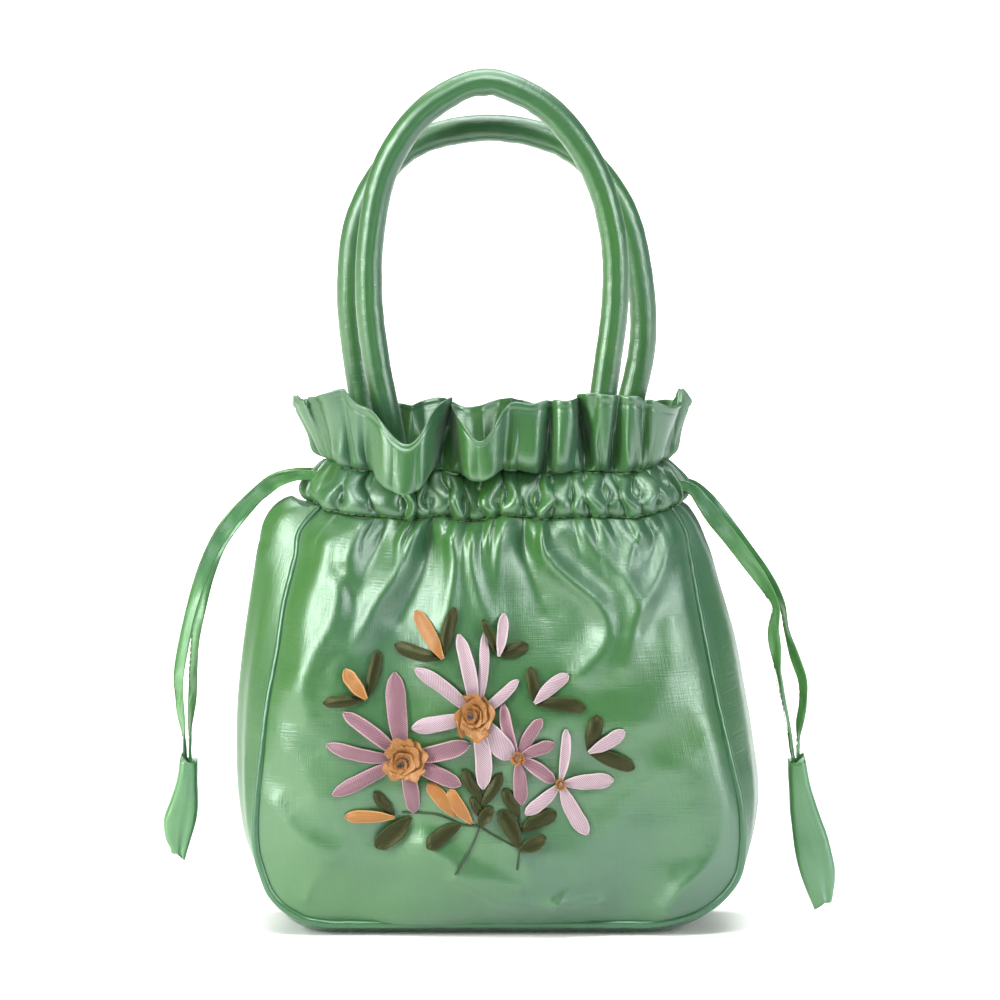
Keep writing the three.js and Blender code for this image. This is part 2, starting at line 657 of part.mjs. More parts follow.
// The depth of the front panel's outer face at a place on it.
function frontFace(x, z) {
  for (let j = 0; j < frontGrid.length - 1; j++) {
    for (let i = 0; i < frontGrid[0].length - 1; i++) {
      const [low, high] = [frontGrid[j], frontGrid[j + 1]];
      const [a, b, c, d] = [low[i], low[i + 1], high[i + 1], high[i]];
      for (const [p, q, r] of [[a, b, c], [a, c, d]]) {
        const area = (q.x - p.x) * (r.z - p.z) - (r.x - p.x) * (q.z - p.z);
        const u = ((x - p.x) * (r.z - p.z) - (r.x - p.x) * (z - p.z)) / area;
        const v = ((q.x - p.x) * (z - p.z) - (x - p.x) * (q.z - p.z)) / area;
        if (u > -1e-7 && v > -1e-7 && u + v < 1 + 1e-7) return p.y + u * (q.y - p.y) + v * (r.y - p.y);
      }
    }
  }
  throw new Error("a flower reaches over the edge of the front panel");
}

// The spray is laid out in small units, 97 to the panel's width, across from its middle and up from
// its foot.
const unit = panelWidth / 97;
const sprayFoot = bottomRise + 4.5;
const onPanel = (across, up, lift) => {
  const [x, z] = [across * unit, sprayFoot + up * unit];
  return new THREE.Vector3(x, frontFace(x, z) - lift, z);
};

// A ribbon stitch: a leaf-shaped loop of ribbon from a foot to a tip, raised along its middle.
const stitchShape = [[0, 0.3], [0.22, 0.8], [0.5, 1], [0.8, 0.76], [1, 0.16]];
function stitchGeometry([across, up, tipAcross, tipUp, wide], lift = ribbonLift, footLift = lift) {
  const length = Math.hypot(tipAcross - across, tipUp - up);
  const [dx, dz] = [(tipAcross - across) / length, (tipUp - up) / length];
  const sections = stitchShape.map(([share, width]) => {
    const reach = share * length;
    const half = (width * wide) / 2;
    const low = lift + (footLift - lift) * Math.max(0, 1 - 1.6 * share);
    const loftHere = 0.6 + ribbonLoft * Math.sin(Math.PI * Math.min(0.95, 0.1 + share)) ** 0.7;
    return [[-1, 0], [1, 0], [0.5, 0.9], [-0.5, 0.9]].map(([side, high]) =>
      onPanel(
        across + dx * reach - dz * side * half,
        up + dz * reach + dx * side * half,
        low + (high ? 0 : 0.12) + high * loftHere,
      ),
    );
  });
  return loft(sections);
}

const joined = (geometries) =>
  fromManifold(geometries.map(toManifold).reduce((whole, next) => whole.add(next)));

// A round of ribbon wound into a rose, or a small knot, sitting on the feet of the stitches round it.
function roseGeometry({ across, up, wide, high, turns, height }, lift) {
  const rings = turns ? 4 : 2;
  const steps = turns ? 12 : 5;
  const rim = Array.from({ length: rings + 1 }, (_, k) => 1 - k / (rings + 0.4));
  const point = (share, step, top) => {
    const turn = (2 * Math.PI * step) / steps;
    const wound = Math.cos(2 * Math.PI * turns * share - turn) * (1 - share ** 6);
    const wave = turns ? 0.24 * height * wound : 0;
    const dome = top ? 0.5 + (height - 0.5) * (1 - share ** 2.4) ** 0.5 + wave : 0;
    const a = across + (wide / 2) * share * Math.cos(turn);
    const u = up + (high / 2) * share * Math.sin(turn);
    return onPanel(a, u, lift + dome);
  };
  const shells = [...rim.map((share) => [share, true])];
  const under = [...rim].reverse().map((share) => [share, false]);
  const ring = ([share, top]) => Array.from({ length: steps }, (_, i) => point(share, i, top));
  return loft([...under, ...shells].map(ring));
}

// The flowers: middle, then each stitch's tip and width.
const flowers = {
  left: { ribbon: mauveRibbon, across: -18.6, up: 32.4, petals: [[-20.4, 49.8, 4], [-30.6, 41.8, 2.8],
    [-34, 35.2, 2.8], [-32.8, 25, 3], [-17, 23.4, 3.2], [-7.2, 27.2, 3], [-5.6, 35.4, 3.2]] },
  middle: { ribbon: paleRibbon, across: -4.4, up: 41.2, petals: [[-16.4, 50.8, 3], [-7.6, 57.8, 2.8],
    [-2.6, 58, 2], [4.2, 48.6, 2.2], [-14.8, 38.4, 2.8], [-3, 26.8, 3], [1.6, 33.4, 3.6]] },
  right: { ribbon: mauveRibbon, across: 4.2, up: 32.8, petals: [[1.2, 43.8, 2.2], [8.8, 40.8, 2.6],
    [11, 35, 2.4], [10.6, 29.4, 2.2], [5.2, 24.6, 2.6]] },
  low: { ribbon: paleRibbon, across: 12.6, up: 27.4, petals: [[13.8, 38.6, 1.9], [23.2, 28, 3.2],
    [17.6, 17, 3], [6.8, 21.8, 2.4]] },
};
const centres = {
  left_rose: { across: -18.6, up: 32.4, wide: 9, high: 9, turns: 2.5, height: 4.2, ribbon: apricotRibbon },
  middle_rose: { across: -4.4, up: 41.2, wide: 7.4, high: 9.4, turns: 2, height: 3.8, ribbon: apricotRibbon },
  right_knot: { across: 4.2, up: 32.8, wide: 2.5, high: 2.5, turns: 0, height: 2, ribbon: apricotRibbon },
  low_knot: { across: 12.6, up: 27.4, wide: 2, high: 2, turns: 0, height: 1.8, ribbon: apricotRibbon },
};

// The buds: foot, tip and width, and the tip and width of each leaf that starts under the bud's foot.
const sprigs = [
  { ribbon: apricotRibbon, bud: [-26, 44.6, -30.4, 50.4, 2.6],
    leaves: [[-23.6, 54.2, 2.2], [-34.6, 43.6, 2]] },
  { ribbon: apricotRibbon, bud: [-10.8, 53, -16.2, 62.2, 3],
    leaves: [[-8.4, 63.2, 2.2], [-20.4, 55.4, 2.4]] },
  { ribbon: paleRibbon, bud: [0.4, 53.4, 1.4, 61.8, 2], leaves: [[-2.8, 60.8, 1.2], [6.2, 55.4, 2.4]] },
  { ribbon: paleRibbon, bud: [7.4, 44, 14.2, 49.6, 2.8], leaves: [[6.6, 51.2, 2], [17.6, 42.8, 2.4]] },
  { ribbon: paleRibbon, bud: [18.2, 33.8, 25.4, 38.2, 2.8], leaves: [[20, 41.4, 2.6], [27.4, 30.4, 2.6]] },
  { ribbon: apricotRibbon, bud: [-20.4, 20.6, -30.4, 20.6, 2.6],
    leaves: [[-24.4, 25.8, 2], [-23.8, 14.4, 2.4]] },
];
const lowBuds = [[-9, 21, -13.4, 27.2, 2.2], [-5, 19.6, -8.6, 25, 2.4]];
const stemLeaves = [
  [-3.1, 24.2, -6.8, 30.4, 2], [-3.3, 20.6, -5, 24.8, 1.6], [-3.2, 22.8, 0.8, 29.6, 2],
  [-3.6, 18.6, -1, 22.8, 2], [4.4, 20.6, 1.4, 26.4, 2.2], [4.4, 14.8, 0.6, 22, 2.6],
  [4.6, 18, 11.8, 21.4, 2.6], [4.5, 14.2, 9.6, 16.8, 2.4], [-7.2, 19.2, -14, 14.4, 2.6],
];
const stems = [
  [[-3, 25.6], [-3.2, 22], [-3.6, 18.6], [-5.4, 14], [-8, 9.8]],
  [[-3.6, 18.8], [-7.2, 19.2], [-11.6, 21], [-15.4, 21.4], [-18.2, 21.4]],
  [[-3.6, 18.8], [-0.4, 16.8], [4.5, 14.4]],
  [[4.4, 22.4], [4.6, 16], [4, 10.8]],
];

function stemGeometry(line) {
  const curve = new THREE.CatmullRomCurve3(line.map(([across, up]) => new THREE.Vector3(across, up, 0)));
  const steps = line.length + 1;
  return loft(
    curve.getSpacedPoints(steps).map((place, k) => {
      const along = curve.getTangentAt(k / steps);
      return [[-0.34, 0], [0.34, 0], [0, 1.1]].map(([side, high]) =>
        onPanel(place.x - along.y * side, place.y + along.x * side, ribbonLift + 0.05 + high),
      );
    }),
  );
}

const group = new THREE.Group();
group.name = "gathered_bag";
function add(name, geometry, material) {
  geometry.computeVertexNormals();
  const mesh = new THREE.Mesh(geometry, material);
  mesh.name = name;
  group.add(mesh);
}

const facing = (y) => () => new THREE.Vector3(0, y, 0);
add("front_panel", clothWall(frontGrid, facing(-1), [frontGrid.length - 1]), greenSatin);
add("back_panel", clothWall(backGrid, facing(1), [backGrid.length - 1]), greenSatin);
const fromMiddle = ({ x, z }) => new THREE.Vector3(x, 0, z - mouthZ / 2);
add("gusset", clothWall(gussetGrid(), fromMiddle, [0, seamLine.length - 1]), greenSatin);
add("front_piping", pipingGeometry(-1), pipingSatin);
add("back_piping", pipingGeometry(1), pipingSatin);
add("casing", casingGeometry(), greenSatin);
add("frill", frillGeometry(), greenSatin);
add("front_handle", handleGeometry(frontHandleLine, -1, frontHandleSpan, frontHandleRise), greenSatin);
add("back_handle", handleGeometry(backHandleLine, 1, backHandleSpan, backHandleRise), greenSatin);
add("left_drawstring", drawstringGeometry(leftFrontRun, leftBackRun, -1, 1), tapeSatin);
add("right_drawstring", drawstringGeometry(rightFrontRun, rightBackRun, 1, -1), tapeSatin);
add("left_tab", tabGeometry(leftTabRows), tapeSatin);
add("right_tab", tabGeometry(rightTabRows), tapeSatin);

const overFeet = ribbonLift + 0.6 + ribbonLoft + seamGap;
for (const [name, { ribbon, across, up, petals }] of Object.entries(flowers)) {
  const stitches = petals.map((petal) => stitchGeometry([across, up, ...petal]));
  add(`${name}_flower`, joined(stitches), ribbon);
}
for (const [name, centre] of Object.entries(centres)) {
  add(name, roseGeometry(centre, overFeet), centre.ribbon);
}
sprigs.forEach(({ ribbon, bud, leaves }, k) => {
  const [across, up] = bud;
  add(`bud_${k + 1}`, stitchGeometry(bud, ribbonLift, overFeet), ribbon);
  const pair = joined(leaves.map((leaf) => stitchGeometry([across, up, ...leaf])));
  add(`bud_leaves_${k + 1}`, pair, oliveRibbon);
});
lowBuds.forEach((bud, k) => add(`low_bud_${k + 1}`, stitchGeometry(bud), apricotRibbon));
const lowLeaves = stemLeaves.map((leaf) => stitchGeometry(leaf));
add("stems", joined([...stems.map(stemGeometry), ...lowLeaves]), oliveRibbon);

export default group;
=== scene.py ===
import math

import bpy
import numpy as np
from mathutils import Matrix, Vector


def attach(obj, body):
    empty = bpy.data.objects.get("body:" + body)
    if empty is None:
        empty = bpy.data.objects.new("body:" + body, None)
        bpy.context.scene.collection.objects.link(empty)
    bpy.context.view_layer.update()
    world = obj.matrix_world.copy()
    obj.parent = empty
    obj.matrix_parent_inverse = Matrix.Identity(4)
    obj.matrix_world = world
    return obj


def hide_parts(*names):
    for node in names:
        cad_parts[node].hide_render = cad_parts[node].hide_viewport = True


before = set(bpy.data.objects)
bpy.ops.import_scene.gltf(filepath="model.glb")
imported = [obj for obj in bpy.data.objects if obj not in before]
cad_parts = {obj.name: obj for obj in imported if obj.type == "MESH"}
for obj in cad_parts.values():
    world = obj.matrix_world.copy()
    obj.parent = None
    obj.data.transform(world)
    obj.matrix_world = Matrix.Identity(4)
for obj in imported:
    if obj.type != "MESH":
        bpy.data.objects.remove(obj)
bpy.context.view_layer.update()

# Camera: the bag is seen straight from the front and a little from above, through a long lens, with
# white paper swept up behind it. All sizes in this file are millimetres until they go into a mesh.
MM = 0.001
VIEW_HEIGHT = 163
VIEW_SIDE = 1.1
VIEW_WIDTH = 380
CAMERA_DISTANCE = 4500
CAMERA_TILT = math.radians(8)

camera = bpy.data.objects.new("camera", bpy.data.cameras.new("camera"))
camera.data.sensor_width = 36
camera.data.lens = 36 * CAMERA_DISTANCE / VIEW_WIDTH
camera.data.clip_end = 20
camera.location = Vector((
    VIEW_SIDE,
    -CAMERA_DISTANCE * math.cos(CAMERA_TILT),
    VIEW_HEIGHT + CAMERA_DISTANCE * math.sin(CAMERA_TILT),
)) * MM
camera.rotation_euler = (math.pi / 2 - CAMERA_TILT, 0, 0)
bpy.context.collection.objects.link(camera)
bpy.context.scene.camera = camera
bpy.context.scene.view_settings.view_transform = "Standard"


def linear(hex_colour, alpha=1):
    """A linear colour from an sRGB hex value."""
    parts = [int(hex_colour[k:k + 2], 16) / 255 for k in (1, 3, 5)]
    return [c / 12.92 if c <= 0.04045 else ((c + 0.055) / 1.055) ** 2.4 for c in parts] + [alpha]


def softbox(name, place, aim, width, height, power):
    """A soft rectangular light. place and aim are in metres, power in watts."""
    lamp = bpy.data.objects.new(name, bpy.data.lights.new(name, "AREA"))
    lamp.data.shape = "RECTANGLE"
    lamp.data.size, lamp.data.size_y = width, height
    lamp.data.energy = power
    lamp.location = place
    lamp.rotation_euler = (Vector(aim) - Vector(place)).to_track_quat("-Z", "Y").to_euler()
    bpy.context.collection.objects.link(lamp)


# Light: two tall softboxes far round to the sides, the left one stronger, and a strip over the front for
# the pale edges of the folds. A large softbox overhead lights the floor, a lamp behind the bag whitens the
# paper, and the room adds a little.
softbox("left_softbox", (-1.15, -0.85, 0.62), (0, 0, 0.14), 0.45, 1.0, 27)
softbox("right_softbox", (1.2, -0.8, 0.5), (0, 0, 0.14), 0.34, 0.9, 13)
softbox("top_strip", (0.05, -0.75, 1.25), (0, 0, 0.18), 0.8, 0.3, 13)
softbox("overhead", (0, 0.6, 2.3), (0, 0.3, 0), 2.4, 2.0, 45)
softbox("paper_lamp", (0, 1.6, 2.4), (0, 3.6, 0), 3.0, 1.2, 190)
world = bpy.data.worlds.new("white_room")
bpy.context.scene.world = world
world.use_nodes = True
world.node_tree.nodes["Background"].inputs["Color"].default_value = linear("#ffffff")
world.node_tree.nodes["Background"].inputs["Strength"].default_value = 0.1

# Floor: a sheet of matt white paper, which ends in front of the picture and is swept up far behind the bag.
bend = [(2.0 * math.sin(a), 2.0 - 2.0 * math.cos(a)) for a in np.linspace(0, math.pi / 2, 24)]
profile = [(-0.33, 0)] + [(4.5 + y, z) for y, z in bend] + [(6.5, 8.0)]
paper = bpy.data.objects.new("paper_floor", bpy.data.meshes.new("paper_floor"))
paper.data.from_pydata(
    [(x, y, z) for y, z in profile for x in (-6, 6)], [],
    [(2 * k, 2 * k + 1, 2 * k + 3, 2 * k + 2) for k in range(len(profile) - 1)],
)
paper.data.polygons.foreach_set("use_smooth", [True] * len(paper.data.polygons))
bpy.context.collection.objects.link(paper)
paper_white = bpy.data.materials.new("matt_paper")
paper_white.use_nodes = True
paper_shader = paper_white.node_tree.nodes["Principled BSDF"]
paper_shader.inputs["Base Color"].default_value = linear("#fbfbfa")
paper_shader.inputs["Roughness"].default_value = 0.9
paper_shader.inputs["Specular IOR Level"].default_value = 0.2
paper.data.materials.append(paper_white)


# Drawstrings: a flat tape of folded and stitched satin leaves the casing at each side as two runs, which
# hang down and end together in a folded tab. The stretch that lies hidden in the casing isn't made here.
TAPE_WIDTH = 7.5
TAPE_THICKNESS = 0.9
TUNNEL_HEIGHT = 170.85
TAPE_LEVEL = 2


def smooth_line(at, stops, values):
    """Values at `at` on a smooth line through the values at the stops."""
    at, stops, values = (np.asarray(a, float) for a in (at, stops, values))
    slope = np.gradient(values, stops, axis=0)
    k = np.clip(np.searchsorted(stops, at, side="right") - 1, 0, len(stops) - 2)
    span = stops[k + 1] - stops[k]
    t = (at - stops[k]) / span
    if values.ndim > 1:
        span, t = span[..., None], t[..., None]
    return (
        (1 + 2 * t) * (1 - t) ** 2 * values[k] + t * (1 - t) ** 2 * span * slope[k]
        + t ** 2 * (3 - 2 * t) * values[k + 1] - t ** 2 * (1 - t) * span * slope[k + 1]
    )


def unit(vectors):
    return vectors / np.maximum(np.linalg.norm(vectors, axis=-1, keepdims=True), 1e-9)


def distance_along(line):
    """How far along a line of points each of them is."""
    return np.concatenate([[0], np.cumsum(np.linalg.norm(np.diff(line, axis=0), axis=1))])


def cloth(name, grid, around=False, ring=False, capped=False):
    """A mesh from rows of points. around closes each row, ring joins the last row to the first, and capped
    closes the two ends of a tube. The UV map is in metres along the rows and down the columns."""
    rows, columns = grid.shape[:2]
    i, j = np.meshgrid(np.arange(rows if ring else rows - 1), np.arange(columns if around else columns - 1),
                       indexing="ij")
    i, j = i.ravel(), j.ravel()
    down, over = (i + 1) % rows, (j + 1) % columns
    quads = np.stack([i * columns + j, i * columns + over, down * columns + over, down * columns + j], 1)
    along = distance_along(np.vstack([grid[rows // 2], grid[rows // 2, :1]])) * MM
    depth = distance_along(np.vstack([grid[:, columns // 2], grid[:1, columns // 2]])) * MM
    spots = (j, i), (j + 1, i), (j + 1, i + 1), (j, i + 1)
    uv = np.stack([np.stack([along[a], depth[b]], -1) for a, b in spots], 1)
    points = grid.reshape(-1, 3)
    corners = points[quads]
    normal = np.cross(corners[:, 1] - corners[:, 0], corners[:, 3] - corners[:, 0])
    centre = corners.mean(1)
    closed = ring or capped
    outward = (normal * (centre if closed else centre - (0, 0, 80))).sum()
    if outward < 0:
        quads, uv = quads[:, ::-1], uv[:, ::-1]
    faces = quads.tolist()
    flat_uv = uv.reshape(-1, 2)
    if capped:
        ends = [list(range(columns)), list(range((rows - 1) * columns, rows * columns))]
        ends[0 if outward >= 0 else 1].reverse()
        faces += ends
        flat_uv = np.vstack([flat_uv, np.zeros((2 * columns, 2))])
    mesh = bpy.data.meshes.new(name)
    mesh.from_pydata((points * MM).tolist(), [], faces)
    mesh.uv_layers.new(name="cloth").data.foreach_set("uv", flat_uv.ravel())
    mesh.polygons.foreach_set("use_smooth", [True] * len(mesh.polygons))
    mesh.update()
    made = bpy.data.objects.new(name, mesh)
    bpy.context.collection.objects.link(made)
    return made


def node(tree, kind, inputs=None, **settings):
    """A node with its settings, and its inputs set to values or linked to sockets."""
    made = tree.nodes.new(kind)
    for name, value in settings.items():
        setattr(made, name, value)
    for key, value in (inputs or {}).items():
        if isinstance(value, bpy.types.NodeSocket):
            tree.links.new(value, made.inputs[key])
        else:
            made.inputs[key].default_value = value
    return made


def blank_material(name):
    """A new material, its empty tree, and a node with the places on its surface."""
    material = bpy.data.materials.new(name)
    material.use_nodes = True
    material.node_tree.nodes.clear()
    return material, material.node_tree, node(material.node_tree, "ShaderNodeTexCoord")


def satin(name, warm_lit_green, cool_shaded_green, gleam, roughness=0.36, thread=0.0005, sheen=0.14):
    """Shot polyester satin: the warp and the weft have two greens, so that the real cloth turns from one to
    the other with its lie, and long floats of warp give it a broad soft gleam with a crisp edge on each fold.
    Here
    the turn is painted shade: the greens are mixed by which way the surface faces, the lighter warm green
    where it faces left, towards the stronger softbox, and the darker cool green where it faces right, over
    random patches of both. Threads are 0.15 mm apart on the real cloth and drawn coarser here, so that they
    show."""
    material, tree, place = blank_material(name)
    floats = node(tree, "ShaderNodeMapping", {
        "Vector": place.outputs["UV"], "Scale": (1 / thread, 0.04 / thread, 1),
    })
    threads = node(tree, "ShaderNodeTexNoise", {
        "Vector": floats.outputs[0], "Scale": 1, "Detail": 3, "Roughness": 0.6,
    })
    picks = node(tree, "ShaderNodeMapping", {
        "Vector": place.outputs["UV"], "Scale": (0.03 / thread, 0.8 / thread, 1),
    })
    weft = node(tree, "ShaderNodeTexNoise", {
        "Vector": picks.outputs[0], "Scale": 1, "Detail": 2, "Roughness": 0.5,
    })
    clouds = node(tree, "ShaderNodeTexNoise", {"Vector": place.outputs["Object"], "Scale": 16, "Detail": 3})
    # Painted shade: the colour goes to the darker cool green where the surface faces right, and to the
    # lighter warm green where it faces left, towards the stronger softbox.
    side_for_painted_shade = node(tree, "ShaderNodeSeparateXYZ", {0: node(tree, "ShaderNodeNewGeometry").outputs["Normal"]})
    turned = node(tree, "ShaderNodeMapRange", {"Value": side_for_painted_shade.outputs["X"], "From Min": -0.8, "From Max": 0.8})
    spread = node(tree, "ShaderNodeMath", {0: clouds.outputs["Fac"], 1: 2.0}, operation="MULTIPLY")
    mixed = node(tree, "ShaderNodeMath", {0: turned.outputs[0], 1: spread.outputs[0]}, operation="ADD")
    share = node(tree, "ShaderNodeMapRange", {"Value": mixed.outputs[0], "From Min": 0.9, "From Max": 2.0})
    colour = node(tree, "ShaderNodeMix", {0: share.outputs[0], 6: linear(warm_lit_green), 7: linear(cool_shaded_green)},
                  data_type="RGBA")
    fleck = node(tree, "ShaderNodeMapRange", {
        "Value": threads.outputs["Fac"], "To Min": 0.78, "To Max": 1.22,
    })
    woven = node(tree, "ShaderNodeMix", {0: 1.0, 6: colour.outputs[2], 7: fleck.outputs[0]},
                 data_type="RGBA", blend_type="MULTIPLY")
    relief = node(tree, "ShaderNodeMath", {0: threads.outputs["Fac"], 1: weft.outputs["Fac"]},
                  operation="ADD")
    crumple = node(tree, "ShaderNodeTexNoise", {
        "Vector": place.outputs["Object"], "Scale": 70, "Detail": 3, "Roughness": 0.55,
    })
    rumpled = node(tree, "ShaderNodeBump", {
        "Height": crumple.outputs["Fac"], "Strength": 0.3, "Distance": 0.0012,
    })
    bump = node(tree, "ShaderNodeBump", {
        "Height": relief.outputs[0], "Strength": 0.26, "Distance": 0.0004, "Normal": rumpled.outputs[0],
    })
    uneven = node(tree, "ShaderNodeMapRange", {
        "Value": clouds.outputs["Fac"], "From Min": 0.3, "From Max": 0.7,
        "To Min": roughness - 0.04, "To Max": roughness + 0.05,
    })
    shader = node(tree, "ShaderNodeBsdfPrincipled", {
        "Base Color": woven.outputs[2], "Roughness": uneven.outputs[0], "Normal": bump.outputs[0],
        "IOR": 1.85, "Specular Tint": linear(gleam), "Specular IOR Level": 0.74, "Metallic": 0.1,
        "Sheen Weight": sheen, "Sheen Roughness": 0.4, "Sheen Tint": linear(gleam),
        "Coat Weight": 0.12, "Coat Roughness": 0.3, "Coat IOR": 1.5,
    })
    node(tree, "ShaderNodeOutputMaterial", {"Surface": shader.outputs[0]})
    return material


tape_satin = satin("shot_tape_satin", "#478536", "#336b42", "#e8f3ef", roughness=0.4)

# Each row is x, y and z of the tape's middle, z down from the middle of the casing, and the turn of its
# face away from the front in degrees.
LEFT_FRONT = [
    (-64.9, -5, 0, 0), (-71, -4.5, 0.4, 0), (-77, -5, 0.8, 0), (-84, -5.4, -0.6, 0),
    (-90, -5.6, -4.6, 0), (-96.6, -5.5, -10, 0), (-102.6, -5.2, -17, 0), (-108, -5, -26, 0),
    (-112.8, -4.8, -38, 5), (-116.4, -4.5, -50, 20), (-119, -4.2, -62, 35), (-121, -3.8, -74, 35),
    (-120.8, -3.2, -84, 50), (-119.8, -1.6, -94, 75), (-119, 0, -103, 88), (-118.6, 0, -111, 90),
    (-118.8, 0, -117, 90),
]
LEFT_BACK = [
    (-64.9, 5, 0, 0), (-71, 4.5, 0.2, 0), (-77, 4.5, 0.2, 0), (-84, 4.4, -1.6, 0), (-90, 4, -5.6, 0),
    (-96.2, 3.4, -11.4, 0), (-101.8, 3, -19, 0), (-106.8, 2.8, -28, 0), (-110.8, 2.6, -39, 5),
    (-113.4, 2.4, -51, 20), (-114.8, 2.2, -62, 35), (-115.6, 2, -74, 35), (-116, 1.8, -84, 50),
    (-116.8, 1, -94, 75), (-117, 0, -103, 88), (-116.8, 0, -111, 90), (-117, 0, -117, 90),
]
RIGHT_FRONT = [
    (65.8, -5, 0, 0), (70, -4.5, 0.5, 0), (74.6, -5.2, -2, 0), (78.2, -5.5, -7, 0),
    (82.8, -5.6, -14, 0), (88.6, -5.2, -21.6, 0), (94.6, -5, -29.6, 10), (100.6, -4.6, -38, 30),
    (106, -4.4, -48, 55), (105.2, -4.2, -57, 45), (106.2, -4, -66, 45), (107.4, -3.6, -75, 50),
    (109.2, -2.6, -84, 65), (110.8, -1.4, -93, 78), (112.2, -0.4, -102, 86), (113.4, 0, -110, 90),
    (114.4, 0, -117, 90),
]
RIGHT_BACK = [
    (65.8, 5, 0, 0), (70, 4.5, 0.5, 0), (74.8, 4.6, -1.6, 0), (79, 4.4, -6.4, 0), (84, 4, -13, 0),
    (89.8, 3.4, -20.6, 0), (95.6, 3, -28.6, 10), (101.8, 2.8, -37, 30), (108.4, 2.6, -48, 60),
    (110.4, 2.4, -58, 65), (113.4, 2.2, -68, 55), (116.6, 2, -78, 50), (116.6, 1.8, -87, 55),
    (115.4, 1.2, -95, 70), (114.8, 0.4, -103, 84), (115, 0, -110, 90), (116.2, 0, -117, 90),
]


def ripple(points, size, seed, waves=9):
    """A smooth irregular height from -1 to 1, with hills about that many millimetres wide."""
    pick = np.random.default_rng(seed)
    total = 0
    for _ in range(waves):
        way = pick.normal(size=points.shape[-1])
        way *= 2 * math.pi / (size * pick.uniform(1.2, 2.8)) / np.linalg.norm(way)
        total = total + np.sin(points @ way + pick.uniform(0, 6.28))
    return total / math.sqrt(waves * 2)


def tape_run(name, rows, level):
    """One hanging run as a mesh, and the points it follows."""
    rows = np.array(rows, float)
    rows[:, 2] += TUNNEL_HEIGHT + level * TAPE_LEVEL * np.clip(1.25 - np.arange(len(rows)) / 4, 0, 1)
    steps = np.linspace(0, len(rows) - 1, 150)
    line = smooth_line(steps, np.arange(len(rows)), rows)
    along = np.stack([steps * 5, 0 * steps], 1)
    loose = np.clip(steps / 3, 0, 1) * np.clip((16 - steps) / 3, 0, 1)
    middle, turn = line[:, :3], np.radians(line[:, 3] + 16 * loose * ripple(along, 12, len(name)))
    tangent = unit(np.gradient(middle, axis=0))
    face = unit(np.array([0, -1, 0]) + tangent * tangent[:, 1:2])
    side = np.cross(tangent, face)
    face, side = (
        face * np.cos(turn)[:, None] + side * np.sin(turn)[:, None],
        side * np.cos(turn)[:, None] - face * np.sin(turn)[:, None],
    )
    narrowing = smooth_line(steps, [0, 1, 4, 7, 10, 20], [0.5, 0.52, 0.86, 0.74, 0.62, 0.62])
    width = TAPE_WIDTH / 2 * narrowing[:, None]
    width = width * (0.96 + 0.08 * loose * ripple(along, 7, len(name) + 1))[:, None]
    around = np.linspace(0, 2 * math.pi, 20, endpoint=False)
    across, thick = np.cos(around), np.sin(around)
    thick = np.sign(thick) * np.abs(thick) ** 0.5
    crease = 1.1 * ripple(along, 8, len(name) + 2, 6)[:, None] * across ** 3
    pucker = 0.45 * ripple(along, 3.2, len(name) + 3)[:, None] * (1 - np.abs(across))
    cupped = 0.5 * (across ** 2 - 0.5) + loose[:, None] * (crease + pucker)
    grid = (
        middle[:, None] + side[:, None] * (width * across)[..., None]
        + face[:, None] * (TAPE_THICKNESS / 2 * thick + cupped)[..., None]
    )
    edge = middle + side * width * 0.8 + face * (TAPE_THICKNESS / 2 + 0.45 * (0.64 - 0.5) + 0.1)
    return cloth(name, grid, around=True, capped=True), middle, edge


def dress(piece, material, solid):
    """Gives a finished piece its material and body, and hides the solid that it stands for."""
    piece.data.materials.append(material)
    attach(piece, "root")
    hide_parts(solid)


runs = {}
for name, rows, level in (
    ("left_front_run", LEFT_FRONT, 1), ("left_back_run", LEFT_BACK, 1),
    ("right_front_run", RIGHT_FRONT, -1), ("right_back_run", RIGHT_BACK, -1),
):
    piece, line, edge = tape_run(name, rows, level)
    dress(piece, tape_satin, name.split("_")[0] + "_drawstring")
    runs[name] = piece, line, edge

# Tabs: a square of the same satin folded round the two ends of each tape and stitched, open at the bottom.
# Each row is x, z down from the middle of the casing, width and depth.
LEFT_TAB = [
    (-117.7, -108, 7, 11.8), (-118, -115, 8, 11.4), (-119.4, -124, 10.8, 9), (-121, -131, 12.4, 8),
    (-121.8, -138, 9.8, 6.5), (-122, -144, 5.6, 5.4),
]
RIGHT_TAB = [
    (114.1, -108, 7, 11.8), (115.5, -118, 8.6, 11.2), (117.2, -128, 11, 9.4), (119.6, -138, 13.4, 8.4),
    (121.6, -148, 13.8, 7.4), (123.2, -156, 11.4, 6.4), (124.8, -163, 7, 5.4),
]
TAB_CLOTH = 0.9


